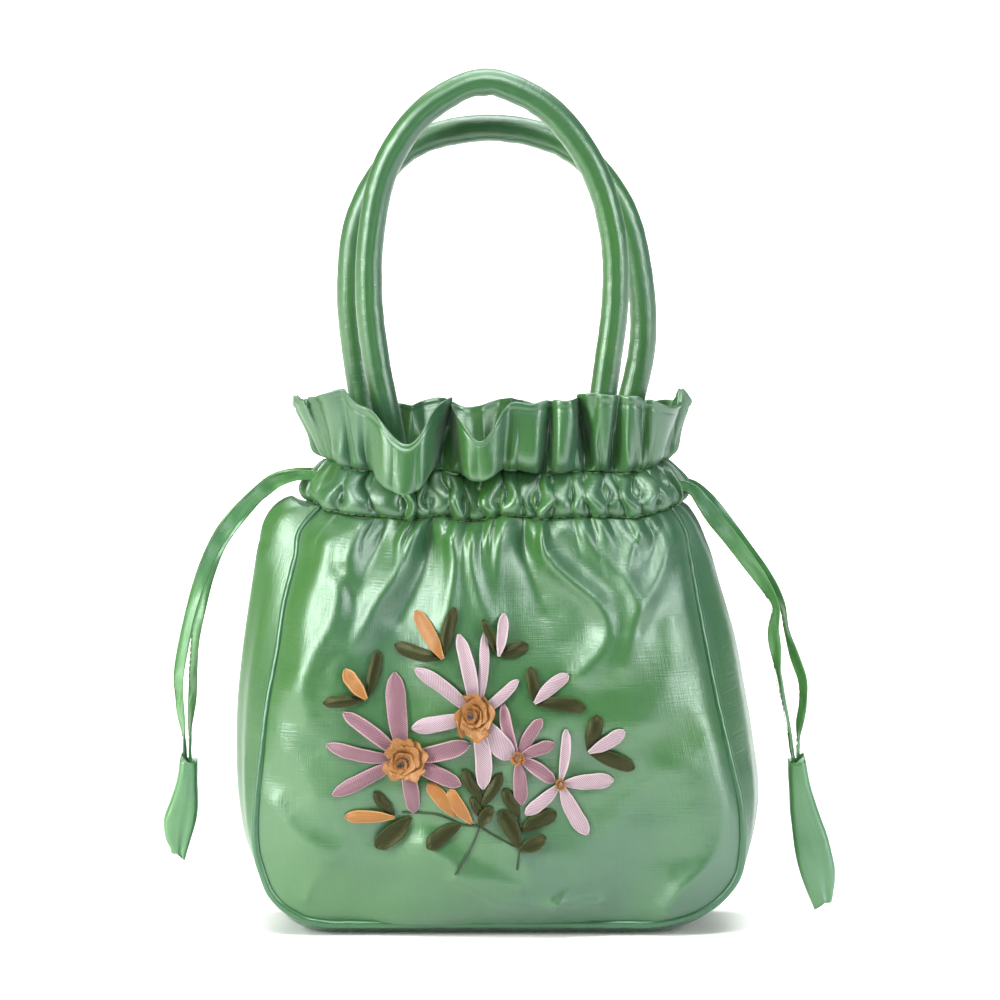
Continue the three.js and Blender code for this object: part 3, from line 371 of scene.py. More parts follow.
def folded_tab(name, rows, slant):
    """A folded sleeve: outside from the top down, round the open bottom edge, and up again inside."""
    rows = np.array(rows, float)
    share = np.linspace(0, 1, 46)
    line = smooth_line(share * (len(rows) - 1), np.arange(len(rows)), rows)
    turn = np.linspace(0, 2 * math.pi, 64, endpoint=False)
    c, s = np.cos(turn), np.sin(turn)
    corner = (c ** 4 + s ** 4) ** 0.25

    def layer(inset, part):
        fold = 0.8 * np.maximum(0, 1 - np.abs(c - 0.35) / 0.3) * np.sign(-s)
        dent = 0.5 * ripple(np.stack([np.broadcast_to(turn * 6, (len(part), 64)),
                                      np.broadcast_to(part[:, 1:2], (len(part), 64))], -1), 9, 5)
        half_wide, half_deep = part[:, 2:3] / 2 - inset, part[:, 3:4] / 2 - inset
        x = part[:, :1] + (half_wide + 0.3 * dent) * c / corner
        y = (half_deep + dent * 0.6) * s / corner + fold * share[:len(part), None] * (inset < 0.5)
        lip = np.linspace(0, 1, len(part))[:, None] ** 6 * slant * c
        return np.stack([x, y, TUNNEL_HEIGHT + part[:, 1:2] + lip + 0 * x], -1)

    grid = np.vstack([layer(0, line), layer(0.4, line[-1:] + (0, 0.5, 0, 0)), layer(TAB_CLOTH, line[::-1])])
    return cloth(name, grid, around=True, ring=True)


for name, rows, slant in (("left_tab", LEFT_TAB, -3), ("right_tab", RIGHT_TAB, 3)):
    tab = folded_tab(name + "_folded", rows, slant)
    dress(tab, tape_satin, name)
    side = name.split("_")[0]
    for place in ("front", "back"):
        piece, line, _ = runs[f"{side}_{place}_run"]


# Pouch: two satin panels and a gusset strip that runs down one side, under the bottom and up the other,
# joined by piped seams. The stuffing of the bag fills it out, and the gathers at the mouth pull the
# panels into soft folds.
PANEL_WIDTH = 184
PANEL_HEIGHT = 158
BAG_DEPTH = 90
BOTTOM_RISE = 4.6
SIDE_BULGE = 12
MOUTH_SAG = 2.5
CLOTH = 1.2
PIPING = 3.2
MOUTH_HEIGHT = BOTTOM_RISE + PANEL_HEIGHT

# Sections of the pouch from the bottom up: height, left and right seam, the panel's depth at the seams and
# at its middle, and the gusset's swelling at the left and the right, as shares of the sizes above.
POUCH = np.array([
    (0, 0.66, 0.61, 0.64, 0.64, 0, 0), (0.012, 0.79, 0.745, 0.65, 0.69, 0.04, 0.04),
    (0.033, 0.86, 0.85, 0.655, 0.755, 0.1, 0.1), (0.068, 0.924, 0.929, 0.66, 0.82, 0.15, 0.15),
    (0.117, 0.962, 0.989, 0.665, 0.88, 0.22, 0.22), (0.19, 0.993, 1.01, 0.67, 0.94, 0.38, 0.38),
    (0.3, 0.989, 1, 0.67, 0.985, 0.66, 0.64), (0.42, 0.966, 0.952, 0.66, 1, 0.88, 0.84),
    (0.54, 0.941, 0.904, 0.62, 0.985, 1, 0.94), (0.66, 0.902, 0.862, 0.56, 0.94, 1.12, 0.95),
    (0.78, 0.87, 0.822, 0.47, 0.86, 1.12, 0.78), (0.88, 0.826, 0.791, 0.37, 0.77, 1.2, 0.6),
    (0.95, 0.8, 0.765, 0.29, 0.69, 0.97, 0.38), (1, 0.72, 0.712, 0.24, 0.62, 0.3, 0.3),
])


def pouch(up):
    """Left and right seam, seam depth, middle depth and the two bulges at a share of the panel's height."""
    root = smooth_line(np.sqrt(np.clip(up, 0, 1)), np.sqrt(POUCH[:, 0]), POUCH[:, 1:])
    return (-root[..., 0] * PANEL_WIDTH / 2, root[..., 1] * PANEL_WIDTH / 2, root[..., 2] * BAG_DEPTH / 2,
            root[..., 3] * BAG_DEPTH / 2, root[..., 4] * SIDE_BULGE, root[..., 5] * SIDE_BULGE)


def mouth_dip(y):
    return MOUTH_SAG * np.minimum(1, (y / (POUCH[-1, 4] * BAG_DEPTH / 2)) ** 2)


# Folds of the front panel. Each runs through three or four places and has a width and a height in
# millimetres at its top and its foot. Places are in units of 1.9 mm, across from the panel's middle and
# up from just over its foot.
UNIT = PANEL_WIDTH / 97
FOOT = BOTTOM_RISE + 4.5
FRONT_FOLDS = [
    (((-34, 80), (-35, 72), (-38, 62), (-40, 50)), (3.5, 5), (2.6, 1.4)),
    (((-27, 80), (-30, 72), (-33, 60), (-39, 48), (-38, 40)), (3.5, 6), (3.2, 1.8)),
    (((-16, 80), (-19, 72), (-25, 62), (-32, 50)), (3.2, 5), (4.2, 1.2)),
    (((-10, 80), (-8.6, 72), (-10, 62), (-13, 54)), (2.6, 4.5), (3.6, 0.8)),
    (((-5, 80), (-5, 72), (-3, 64), (0, 58)), (2.2, 4), (3.4, 0.5)),
    (((1, 80), (0, 72), (0, 64)), (2.2, 4), (2, 0.4)),
    (((8, 80), (11, 72), (20, 64), (22, 57), (17, 50)), (2.8, 5), (4.4, 1.6)),
    (((16, 80), (20, 74), (27, 66), (27, 58)), (3, 5), (2.4, 0.8)),
    (((37, 80), (33, 71), (28, 60), (26, 52)), (2.8, 5), (3.4, 1)),
    (((28, 78), (26, 70), (29, 63)), (2, 3), (1.8, 0.5)),
    (((38, 70), (38.5, 62), (41, 52), (41.5, 42)), (2.5, 4), (2.6, 0.8)),
    (((35, 60), (35.6, 50), (30, 41)), (4, 8), (1.6, 0.8)),
    (((43, 38), (47, 22), (44, 12), (37, 5), (34, 1)), (4, 5), (2.6, 3.2)),
    (((-14, 15), (-5, 9), (4, 6)), (4, 5), (1.7, 1.9)),
    (((3, 15), (6, 10), (11, 3)), (3, 4), (1.2, 1.3)),
    (((-8, 8), (3, 2.6), (20, 2.4)), (3, 3), (1.8, 1.8)),
    (((-43, 46), (-45, 38), (-36, 25)), (6, 8), (3.2, 1.6)),
    (((-45, 22), (-40, 16), (-34, 12)), (4, 6), (2.4, 1.4)),
    (((12, 2), (14, 5), (17, 7)), (1.6, 3), (1, 0.5)),
    (((-38, 3), (-37, 6), (-36, 8)), (1.4, 2.6), (0.9, 0.4)),
    (((-22, 80), (-24, 74), (-27, 68)), (2, 3.5), (-3, -0.5)),
    (((-13, 80), (-14, 72), (-19, 60)), (2.4, 5), (-3.4, -1.5)),
    (((4.5, 80), (6, 72), (9, 62)), (2.6, 6), (-3.6, -1.6)),
    (((33, 80), (31, 74), (31, 68)), (2, 3), (-2.4, -0.6)),
    (((-31, 70), (-28, 62), (-30, 54)), (3, 4), (-1.8, -0.8)),
]


# Pleats: the valleys of the front's pleats along the upper and the lower stitch row of the casing, as shares
# from seam to seam. PLEAT is how far a crest stands out.
PLEAT = 5.6
UPPER_PLEATS = (0, 0.07, 0.13, 0.21, 0.27, 0.3, 0.345, 0.4, 0.45, 0.52, 0.56, 0.64, 0.655, 0.715, 0.755, 0.8,
                0.84, 0.9, 0.95, 1)
LOWER_PLEATS = (0, 0.05, 0.16, 0.24, 0.27, 0.32, 0.37, 0.42, 0.47, 0.5, 0.58, 0.615, 0.65, 0.72, 0.77, 0.82,
                0.87, 0.92, 0.96, 1)


def pleat_phase(mark, height):
    """A count of pleats round the mouth, whose whole numbers lie at the valleys."""
    pick = np.random.default_rng(3)
    top, low = list(UPPER_PLEATS), list(LOWER_PLEATS)
    for start, number in ((1, 5), (2, 21), (3, 5)):
        cuts = start + np.cumsum(pick.uniform(0.6, 1.4, number))[:-1] / number
        cuts = cuts[cuts < start + 0.98]
        top += (cuts + pick.uniform(-0.008, 0.008, len(cuts))).tolist() + [start + 1]
        low += (cuts + pick.uniform(-0.008, 0.008, len(cuts))).tolist() + [start + 1]
    top, low = sorted(top), sorted(low)
    count = np.arange(len(top))
    return np.interp(mark, low, count) * (1 - height) + np.interp(mark, top, count) * height


def pillow(mark, height, power=0.5):
    """0 in the valley of a pleat and 1 on its crest."""
    phase = pleat_phase(mark, height)
    size = 0.66 + 0.34 * np.sin(np.floor(phase) * 2.4)
    return np.abs(np.sin(math.pi * phase)) ** power * size


def wander(mark):
    """How far the stitch rows at the front and the back run up and down round the mouth."""
    place = np.stack([mark * 133, 0 * mark], -1)
    return 1.5 * ripple(place, 15, 54) * np.sqrt(np.clip(np.sin(math.pi * mark), 0, 1))


def fold_relief(x, z, folds, scale=1.0):
    """The height of a table of folds at places on a panel."""
    total = np.zeros_like(x)
    for path, (wide_top, wide_foot), (high_top, high_foot) in folds:
        path = np.array(path, float) * UNIT + (0, FOOT)
        line = smooth_line(np.linspace(0, len(path) - 1, 16), np.arange(len(path)), path)
        gap, along = np.full_like(x, 1e9), np.zeros_like(x)
        for k, ((ax, az), (bx, bz)) in enumerate(zip(line, line[1:])):
            run, climb = bx - ax, bz - az
            share = np.clip(((x - ax) * run + (z - az) * climb) / (run ** 2 + climb ** 2), 0, 1)
            there = np.hypot(x - ax - share * run, z - az - share * climb)
            along = np.where(there < gap, (k + share) / 15, along)
            gap = np.minimum(gap, there)
        wide = 1.3 * wide_top + (wide_foot - 1.3 * wide_top) * along
        high = high_top + (high_foot - high_top) * along
        # A fold is sharper at its crest than at its flanks, and fades out past its foot.
        total += scale * high / (1 + (gap / (1.3 * wide)) ** 2) ** 1.6
    return total


def panel_depth(x, z, folds, seed, first=0):
    """How far a panel stands out at x, z, with its folds, small pleats and wrinkles. first is the pleat mark
    at the panel's left seam."""
    up = np.clip((z - BOTTOM_RISE) / PANEL_HEIGHT, 0, 1)
    left, right, seam, belly, *_ = pouch(up)
    across = np.clip((x - left) / (right - left), 0, 1)
    off = np.abs(2 * across - 1)
    full = np.maximum(1 - off ** (2.2 + 3.8 * up ** 2), 0) ** (1 / (1 + up))
    hold = 1 - off ** 8
    drawn = 1 - np.clip((up - 0.93) / 0.07, 0, 1) ** 2 * 0.75
    relief = fold_relief(x, z, folds, 1.5) * drawn
    place = np.stack([x, z], -1)
    soft = 1.7 * ripple(place, 36, seed) + 0.75 * ripple(place, 18, seed + 1)
    wrinkled = 0.22 * ripple(place, 9, seed + 2) + 0.07 * ripple(place, 4.2, seed + 3)
    under = np.maximum(MOUTH_HEIGHT - z, 0)
    reach = 0.6 * np.exp(-under / 6) + 0.4 * under / 3.5 * np.exp(1 - under / 3.5)
    mark = across if first == 0 else 3 - across
    pleats = PLEAT * reach * (pillow(mark, -0.02 * under, 0.8) - 0.3 * (1 - drawn) / 0.75 - 0.1)
    return seam + (belly - seam) * full + (relief + (soft + wrinkled) * drawn) * hold + pleats * hold


def panel(name, facing, folds, across, rows, seed):
    """A panel as a grid that follows its seams, its outside out."""
    up = np.linspace(0, 1, rows) ** 1.35
    left, right, *_ = pouch(up)
    share = np.linspace(0, 1, across)
    x = left[:, None] + (right - left)[:, None] * share
    z = (BOTTOM_RISE + up * PANEL_HEIGHT)[:, None] + 0 * x
    depth = panel_depth(x, z, folds, seed, 0 if facing < 0 else 2)
    y = facing * depth
    row = wander(share if facing < 0 else 3 - share) * up[:, None] ** 18
    grid = np.stack([x, y, z + row - mouth_dip(y) * up[:, None] ** 4], -1)
    made = cloth(name, grid)
    thicken(made, CLOTH)
    return made


def thicken(piece, thickness):
    """A wall of cloth with its thickness inside."""
    wall = piece.modifiers.new("cloth", "SOLIDIFY")
    wall.thickness = thickness * MM
    wall.offset = -1
    wall.use_even_offset = False


green_satin = satin("shot_green_satin", "#366b25", "#225333", "#e8f5f2", roughness=0.38)

BACK_FOLDS = [
    (((-30, 80), (-32, 70), (-36, 56)), (3, 6), (3.6, 1)),
    (((-20, 80), (-18, 70), (-22, 56)), (3, 6), (4, 0.8)),
    (((-8, 80), (-9, 68), (-5, 52)), (3, 6), (4.4, 1)),
    (((2, 80), (4, 70), (2, 60)), (2.5, 4), (3, 0.6)),
    (((12, 80), (14, 68), (20, 54)), (3, 6), (4.2, 1)),
    (((25, 80), (24, 70), (28, 58)), (3, 5), (3.4, 0.8)),
    (((34, 80), (36, 68), (38, 52)), (3, 5), (3, 0.8)),
    (((-25, 80), (-26, 72), (-28, 62)), (2.4, 5), (-3, -0.8)),
    (((-3, 80), (-2, 70), (0, 60)), (2.4, 5), (-3, -0.8)),
    (((19, 80), (20, 72), (23, 62)), (2.4, 5), (-3, -0.8)),
    (((-42, 40), (-44, 22), (-38, 8)), (5, 6), (1.6, 2)),
    (((40, 44), (45, 24), (40, 8)), (5, 6), (1.6, 2)),
    (((-20, 14), (-6, 7), (8, 4)), (4, 4), (1.2, 1.4)),
]

front_panel = panel("front_panel_satin", -1, FRONT_FOLDS, 190, 200, 11)
back_panel = panel("back_panel_satin", 1, BACK_FOLDS, 120, 120, 31)
for piece, solid in ((front_panel, "front_panel"), (back_panel, "back_panel")):
    dress(piece, green_satin, solid)


def seam_line(count):
    """The seam round a panel, from the mouth down the left, along the bottom and up the right side: places,
    the seam's depth, the gusset's swelling, the share of the height and the direction away from the panel."""
    up = np.linspace(1, 0, count) ** 1.6
    left, right, seam, _, left_bulge, right_bulge = pouch(up)
    flat = np.linspace(0, 1, count // 3)[1:-1]
    foot_left, foot_right = left[-1], right[-1]
    x = np.concatenate([left, foot_left + (foot_right - foot_left) * flat, right[::-1]])
    height = np.concatenate([up, 0 * flat, up[::-1]])
    depth = np.concatenate([seam, 0 * flat + seam[-1], seam[::-1]])
    swell = np.concatenate([left_bulge, 0 * flat, right_bulge[::-1]])
    z = BOTTOM_RISE + height * PANEL_HEIGHT
    step = np.concatenate([[0], np.cumsum(np.hypot(np.diff(x), np.diff(z)))])
    even = np.linspace(0, step[-1], 2 * count)
    x, z, depth, swell, height = (np.interp(even, step, a) for a in (x, z, depth, swell, height))
    along = unit(np.stack([np.gradient(x), np.gradient(z)], -1))
    out = np.stack([along[:, 1], -along[:, 0]], -1)
    rim = np.clip((height - 0.97) / 0.03, 0, 1)[:, None]
    out = unit(out * (1 - rim) + np.stack([np.sign(x), 0 * x], -1) * rim)
    return x, z, depth, swell, height, out


def gusset_skin():
    x, z, depth, swell, height, out = seam_line(190)
    share = np.linspace(-1, 1, 44)
    low = np.clip(height / 0.07, 0, 1)
    under = np.where(np.abs(out[:, 1]) > 0.99, 1, 1 - low ** 2 * (3 - 2 * low))
    flat = np.minimum(1, (1 - np.abs(share)) / 0.28) ** 0.5
    y = share * (depth - PIPING / 2)[:, None]
    place = np.stack([y * 2.2, z[:, None] + 0 * y, x[:, None] * 0.3 + 0 * y], -1)
    gathers = np.clip((height - 0.8) / 0.2, 0, 1)[:, None]
    creases = (
        0.7 * ripple(place * (1, 0.22, 1), 12, 41) * (1 - share ** 2)
        + 0.9 * gathers * np.sin(y / 1.7 + 2 * ripple(place * (0, 1, 0), 20, 42)) * (1 - share ** 4)
    )
    bulged = (
        swell[:, None] * (1 - share ** 2) + under[:, None] * BOTTOM_RISE * flat
        + creases * (1 - under[:, None])
    )
    above = np.maximum(0, z[:, None] + out[:, 1:] * bulged)
    return np.stack([x[:, None] + out[:, :1] * bulged, y, above - mouth_dip(y) * height[:, None] ** 4], -1)


gusset = cloth("gusset_satin", gusset_skin())
thicken(gusset, CLOTH)
dress(gusset, green_satin, "gusset")

# Piping: a cord in a bias strip of the same satin, a little darker, sewn into each seam. The strip is
# pulled round the corners, so that it shows fine slanting wrinkles.
piping_satin = satin("bias_piping_satin", "#2a5c2e", "#1f4c30", "#cdebd9", roughness=0.36)


def rings_round(line, side, third, r, turn):
    """Rings of points round a line, of radius r."""
    return (
        line[:, None] + side[:, None] * (r * np.cos(turn))[..., None]
        + third[:, None] * (r * np.sin(turn))[..., None]
    )


def tube(name, line, radius, sides, twist, wrinkle, seed):
    """A closed tube along a line."""
    tangent = unit(np.gradient(line, axis=0))
    side = unit(np.cross(tangent, (0, 1, 0)))
    third = np.cross(tangent, side)
    step = distance_along(line)
    turn = np.linspace(0, 2 * math.pi, sides, endpoint=False)[None] + 0 * step[:, None]
    place = np.stack([turn * radius, step[:, None] + 0 * turn + twist * turn], -1)
    r = radius + wrinkle * ripple(place, 3 * radius, seed)
    taper = np.minimum(1, 0.2 + np.minimum(step, step[-1] - step) / (0.4 * radius)) ** 0.5
    r = r * np.clip(taper, 0, 1)[:, None]
    return cloth(name, rings_round(line, side, third, r, turn), around=True, capped=True)


for name, facing in (("front_piping", -1), ("back_piping", 1)):
    x, z, depth, _, height, _ = seam_line(190)
    line = np.stack([x, facing * depth, z - mouth_dip(depth) * height ** 4], -1)
    line[:, 2] = np.maximum(line[:, 2], PIPING / 2)
    piece = tube(name + "_satin", line, PIPING / 2, 12, twist=2.5, wrinkle=0.1, seed=7)
    dress(piece, piping_satin, name)


# Casing: a doubled band of satin between two rows of stitching. The tapes pull it into puckers, which
# puff out between the rows like small pillows.
CASING_HEIGHT = 16.5
CASING_DRAW = 6
TUNNEL = 3.6
SEAM_GAP = 0.35


def mouth_loop(count):
    """The line of the lower stitch row: places, outward directions, and how far round it each one is, from
    0 at the left front seam, 1 at the right front seam, 2 and 3 at the back seams and 4 at the start."""
    left, right, seam, belly, bulge, _ = (float(a) for a in pouch(np.array(1.0)))
    share = np.linspace(0, 1, 200)
    full = (1 - np.abs(2 * share - 1) ** 6) ** 0.5
    front = np.stack([left + (right - left) * share, -(seam + (belly - seam) * full)], -1)
    side = np.stack([right + bulge * (1 - (2 * share - 1) ** 2), seam * (2 * share - 1)], -1)
    back = np.stack([right - (right - left) * share, seam + (belly - seam) * full], -1)
    other = np.stack([left - bulge * (1 - (2 * share - 1) ** 2), -seam * (2 * share - 1)], -1)
    line = np.vstack([part[:-1] for part in (front, side, back, other)])
    mark = np.arange(len(line)) / 199
    for _ in range(6):
        line = (np.roll(line, 1, 0) + 2 * line + np.roll(line, -1, 0)) / 4
    step = distance_along(np.vstack([line, line[:1]]))
    even = np.linspace(0, step[-1], count, endpoint=False)
    x, y = (np.interp(even, step, np.append(line[:, k], line[0, k])) for k in (0, 1))
    mark = np.interp(even, step, np.append(mark, 4))
    along = unit(np.stack([np.roll(x, -1) - np.roll(x, 1), np.roll(y, -1) - np.roll(y, 1)], -1))
    return x, y, np.stack([along[:, 1], -along[:, 0]], -1), mark, even


def casing_skin():
    x, y, out, mark, even = mouth_loop(760)
    outside = np.linspace(0.0, 1.0, 26)
    inside = np.linspace(1.0, 0.0, 10)
    height = np.concatenate([outside, inside])[:, None]
    face = np.concatenate([np.ones(26), -np.ones(10)])[:, None]
    puff = np.sin(math.pi * np.clip(height, 0, 1)) ** 0.6
    swing = 0.25 * np.sin(2 * math.pi * height + 3 * np.floor(pleat_phase(mark, 0.5))) * puff
    ridge = pillow(mark + 0.045 * swing, height)
    place = np.stack([even + 0 * height, height * CASING_HEIGHT + 0 * even], -1)
    fine = 0.3 * ripple(place * (1, 0.35), 3.4, 51) + 0.45 * ripple(place, 8, 52)
    offset = np.where(
        face > 0,
        0.3 + puff * (TUNNEL / 2 + fine) + (0.6 + 0.4 * puff) * PLEAT * (ridge - 0.4 * (1 - puff)),
        -2.0 - puff * (0.7 + 0.6 * ridge),
    )
    shift = 1.3 * np.sin(math.pi * height) * np.sin(pleat_phase(mark, height) * 2.1 + 1)
    draw = CASING_DRAW * height ** 2 * (3 - 2 * height)
    side = np.stack([-out[:, 1], out[:, 0]], -1)
    px = x + out[:, 0] * (offset - draw) + side[:, 0] * shift * (face > 0)
    py = y + out[:, 1] * (offset - draw) + side[:, 1] * shift * (face > 0)
    pz = MOUTH_HEIGHT + SEAM_GAP + height * (CASING_HEIGHT - SEAM_GAP) - mouth_dip(y)
    uneven = wander(mark) + 1.1 * (0.5 - pillow(mark, height)) * (0.25 + 0.75 * height)
    return np.stack([px, py, pz + uneven], -1)


casing = cloth("casing_satin", casing_skin(), around=True, ring=True)
dress(casing, green_satin, "casing")


# Frill: the doubled edge of the cloth above the casing, hemmed along its top. It stands up in waves, and
# two of its folds flop forward over the casing at the front.
FRILL_HEIGHT = 30
FRILL_BACK_HEIGHT = 20
FRILL_FLARE = 8
# Each lobe: where it is round the mouth, its half width, how far its edge leans out, how far its middle
# bellies out, how far its edge and its middle sink, and how much its sides close over it.
LOBES = [
    (-0.04, 0.06, 1, 1, 7, 0, 0), (0.055, 0.04, -2, 0, -1, 0, 1), (0.13, 0.035, 1, 3, 3, 1, 0),
    (0.237, 0.078, 12, 14, 16, 10, 0), (0.36, 0.028, -12, -7, 1, 0, 3), (0.462, 0.06, 10, 11, 15, 5, 0),
    (0.58, 0.05, 3, 7, 3, 2, 0), (0.647, 0.016, -2, -4, 2, 0, 1.5), (0.695, 0.03, 3, 7, 2, 1, 0),
    (0.757, 0.022, -8, -7, 2, 0, 2.5), (0.81, 0.022, 2, 4, 0, 1, 0), (0.85, 0.016, -2, -3, 0, 0, 1),
    (0.885, 0.024, 2, 4, 0, 1, 0), (0.925, 0.012, -1, -2, 2, 0, 1), (1.0, 0.07, 1, 2, 8, 0, 0),
    (1.3, 0.12, 2, 2, 5, 0, 0), (1.6, 0.12, -3, 0, 4, 0, 1), (1.85, 0.1, 2, 2, 4, 0, 0),
    (2.1, 0.05, 4, 2, 2, 0, 0), (2.22, 0.03, -6, -2, 0, 0, 2), (2.34, 0.05, 6, 4, 4, 1, 0),
    (2.47, 0.03, -6, -2, -1, 0, 2), (2.6, 0.05, 6, 4, 2, 0, 0), (2.74, 0.03, -6, -2, 0, 0, 2),
    (2.87, 0.05, 5, 4, 3, 0, 0), (3.15, 0.12, 1, 1, 4, 0, 0), (3.5, 0.12, -1, 1, 5, 0, 0),
    (3.8, 0.12, 1, 2, 6, 0, 0),
]


def frill_skin():
    x, y, out, mark, even = mouth_loop(820)
    outside = np.linspace(0, 1, 34)
    lip = np.array([1.012, 1.0, 0.985, 1.0, 1.012])
    height = np.concatenate([outside, lip, outside[::-1]])[:, None]
    skin = np.concatenate([np.full(34, 1.0), [0.8, 0.35, 0, -0.35, -0.8], np.full(34, -1.0)])[:, None]
    level = np.clip(height, 0, 1)
    sums = np.zeros((4, len(height), len(mark)))
    close = np.zeros((len(height), len(mark)))
    for at, half, *columns, shut in LOBES:
        # Only the wide lobes stand straight; the narrow folds slant to one side or the other.
        slant = 0 if half > 0.045 else 0.03 * math.sin(40 * at)
        signed = (mark - at - slant * (level - 0.5) + 2) % 4 - 2
        bell, flat_bell = np.exp(-(signed / half) ** 2), np.exp(-(signed / half / 1.05) ** 6)
        for k, value in enumerate(columns):
            sums[k] += value * (0.5 * bell + 0.5 * flat_bell, flat_bell, bell, flat_bell)[k]
        close -= shut * signed / half * bell
    lean, belly, drop, sag = sums
    left_side = np.exp(-((mark - 3.5) / 0.45) ** 2) * 5
    offset = (
        -CASING_DRAW + FRILL_FLARE * level ** 1.3 + (lean + left_side) * level ** 1.2
        + belly * np.sin(math.pi * level ** 0.6)
    )
    gathers = np.exp(-level / 0.3)
    ridge = pillow(mark, 1.0, 0.7)
    place = np.stack([even + 0 * height, height * FRILL_HEIGHT + 0 * even], -1)
    soft = 1.3 * ripple(place * (1, 0.5), 19, 61) * level + 0.45 * ripple(place * (1, 0.6), 8, 62)
    seam = -0.8 * np.exp(-((mark - 0.927) / 0.005) ** 2) * (skin > 0)
    hem = -0.55 * np.exp(-((height - 0.9) / 0.018) ** 2)
    pleat = PLEAT * (0.3 * np.exp(-level / 0.12) + 0.75 * level / 0.16 * np.exp(1 - level / 0.16)) * ridge
    offset = (
        offset + pleat * (0.55 + 0.45 * (skin > 0)) + soft + skin * (1.0 - 0.35 * gathers) + seam
        + hem * skin
    )
    tall = FRILL_HEIGHT + (FRILL_BACK_HEIGHT - FRILL_HEIGHT) * np.clip(y / 22 + 0.5, 0, 1)
    sunk = sag * np.sin(math.pi * np.minimum(1, level * 1.25)) * (level < 0.8)
    rise = (tall - drop + wander(mark) * 0.3) * height - sunk
    side = np.stack([-out[:, 1], out[:, 0]], -1)
    shift = close * level ** 1.2 * 1.6 + 1.1 * ripple(place * (1, 0.3), 22, 63) * level
    base = MOUTH_HEIGHT + CASING_HEIGHT + SEAM_GAP - mouth_dip(y) + wander(mark)
    return np.stack([
        x + out[:, 0] * offset + side[:, 0] * shift,
        y + out[:, 1] * offset + side[:, 1] * shift,
        base + rise + 0.4 * ripple(place * (1, 0), 18, 64) * level,
    ], -1)


frill = cloth("frill_satin", frill_skin(), around=True, ring=True)
dress(frill, green_satin, "frill")


# Handles: two tubes of satin stuffed with soft cord, with both ends of each sewn inside the mouth. The
# cloth creases across the inside of the bends.
HANDLE = 10.3
HANDLE_FOOT = MOUTH_HEIGHT + 4
FRONT_SPAN, FRONT_RISE = 93, 157
BACK_SPAN, BACK_RISE = 110.6, 137.5
# The line of each handle from its left foot to its right one: across as a share of half its span, and up as
# a share of its rise.
FRONT_LINE = [
    (-0.78, 0), (-0.87, 0.16), (-0.98, 0.32), (-1.04, 0.47), (-1.02, 0.64), (-0.88, 0.81), (-0.48, 0.955),
    (-0.1, 1), (0.3, 0.96), (0.73, 0.82), (0.93, 0.65), (0.96, 0.47), (0.9, 0.32), (0.82, 0.16), (0.72, 0),
]
BACK_LINE = [
    (-0.82, 0), (-0.9, 0.18), (-0.97, 0.36), (-1.01, 0.56), (-0.94, 0.76), (-0.66, 0.93), (-0.04, 1),
    (0.52, 0.94), (0.84, 0.79), (0.98, 0.58), (1, 0.4), (0.9, 0.2), (0.8, 0),
]


def handle(name, stops, facing, span, rise, seed):
    wall = POUCH[-1, 4] * BAG_DEPTH / 2 - CASING_DRAW - TUNNEL / 2 - CLOTH
    foot = facing * (wall - SEAM_GAP - HANDLE / 2)
    stops = np.array(stops)
    run, climb = np.diff(stops[:, 0] * span / 2), np.diff(stops[:, 1] * rise)
    chord = np.concatenate([[0], np.cumsum(np.hypot(run, climb))])
    line = smooth_line(np.linspace(0, chord[-1], 300), chord, stops)
    x, z = line[:, 0] * span / 2, HANDLE_FOOT + line[:, 1] * rise
    middle = np.stack([x, foot * (1 - 0.3 * line[:, 1]), z], -1)
    tangent = unit(np.gradient(middle, axis=0))
    side = unit(np.cross(tangent, (0, 1, 0)))
    third = np.cross(tangent, side)
    turn = np.linspace(0, 2 * math.pi, 40, endpoint=False)
    step = np.linspace(0, chord[-1], 300)
    bend = np.linalg.norm(np.gradient(tangent, step, axis=0), axis=1) * 30
    inner = np.sign((np.gradient(tangent, axis=0) * side).sum(-1))
    facing_in = np.clip(np.cos(turn)[None] * inner[:, None], 0, 1)
    place = np.stack([turn[None] * 5 + 0 * step[:, None], step[:, None] + 0 * turn[None]], -1)
    crease = facing_in ** 1.5 * np.clip(bend, 0, 1.2)[:, None] * 0.42 * ripple(place * (0.15, 1), 5, seed)
    soft = 0.16 * ripple(place * (0.6, 0.25), 9, seed + 1) + 0.05 * ripple(place, 3, seed + 2)
    stitched = -0.4 * np.exp(-((turn - math.pi * 0.5 * (2 + facing)) / 0.12) ** 2)[None]
    r = HANDLE / 2 + crease + soft + stitched
    r = r * np.clip(0.3 + np.minimum(step, step[-1] - step) / 2.5, 0, 1)[:, None] ** 0.5
    return cloth(name, rings_round(middle, side, third, r, turn), around=True, capped=True)


for name, stops, facing, span, rise in (
    ("front_handle", FRONT_LINE, -1, FRONT_SPAN, FRONT_RISE),
    ("back_handle", BACK_LINE, 1, BACK_SPAN, BACK_RISE),
):
    piece = handle(name + "_satin", stops, facing, span, rise, 71)
    dress(piece, green_satin, name)


# Ribbon work: straight stitches of satin ribbon, 4 to 8 mm wide, go down through the front panel at foot
# and tip, where the ribbon draws together. A twill runs slantwise over it, and its picot edges are pale.
RIBBON_LOFT = 1.5
RIBBON_LIFT = 0.4
RIBBON_THICKNESS = 0.35
ROSE_THICKNESS = 0.3


def front_face(x, z):
    """The front panel's outside at x, z."""
    depth = panel_depth(x, z, FRONT_FOLDS, 11)
    up = (z - BOTTOM_RISE) / PANEL_HEIGHT
    return -depth, z - mouth_dip(depth) * up ** 4


def over_panel(across, up, lift):
    """Places on the front panel, in units across and up the spray, raised by lift."""
    x, z = across * UNIT, FOOT + up * UNIT
    y, z = front_face(x, z)
    return np.stack([x, y - lift, z], -1)


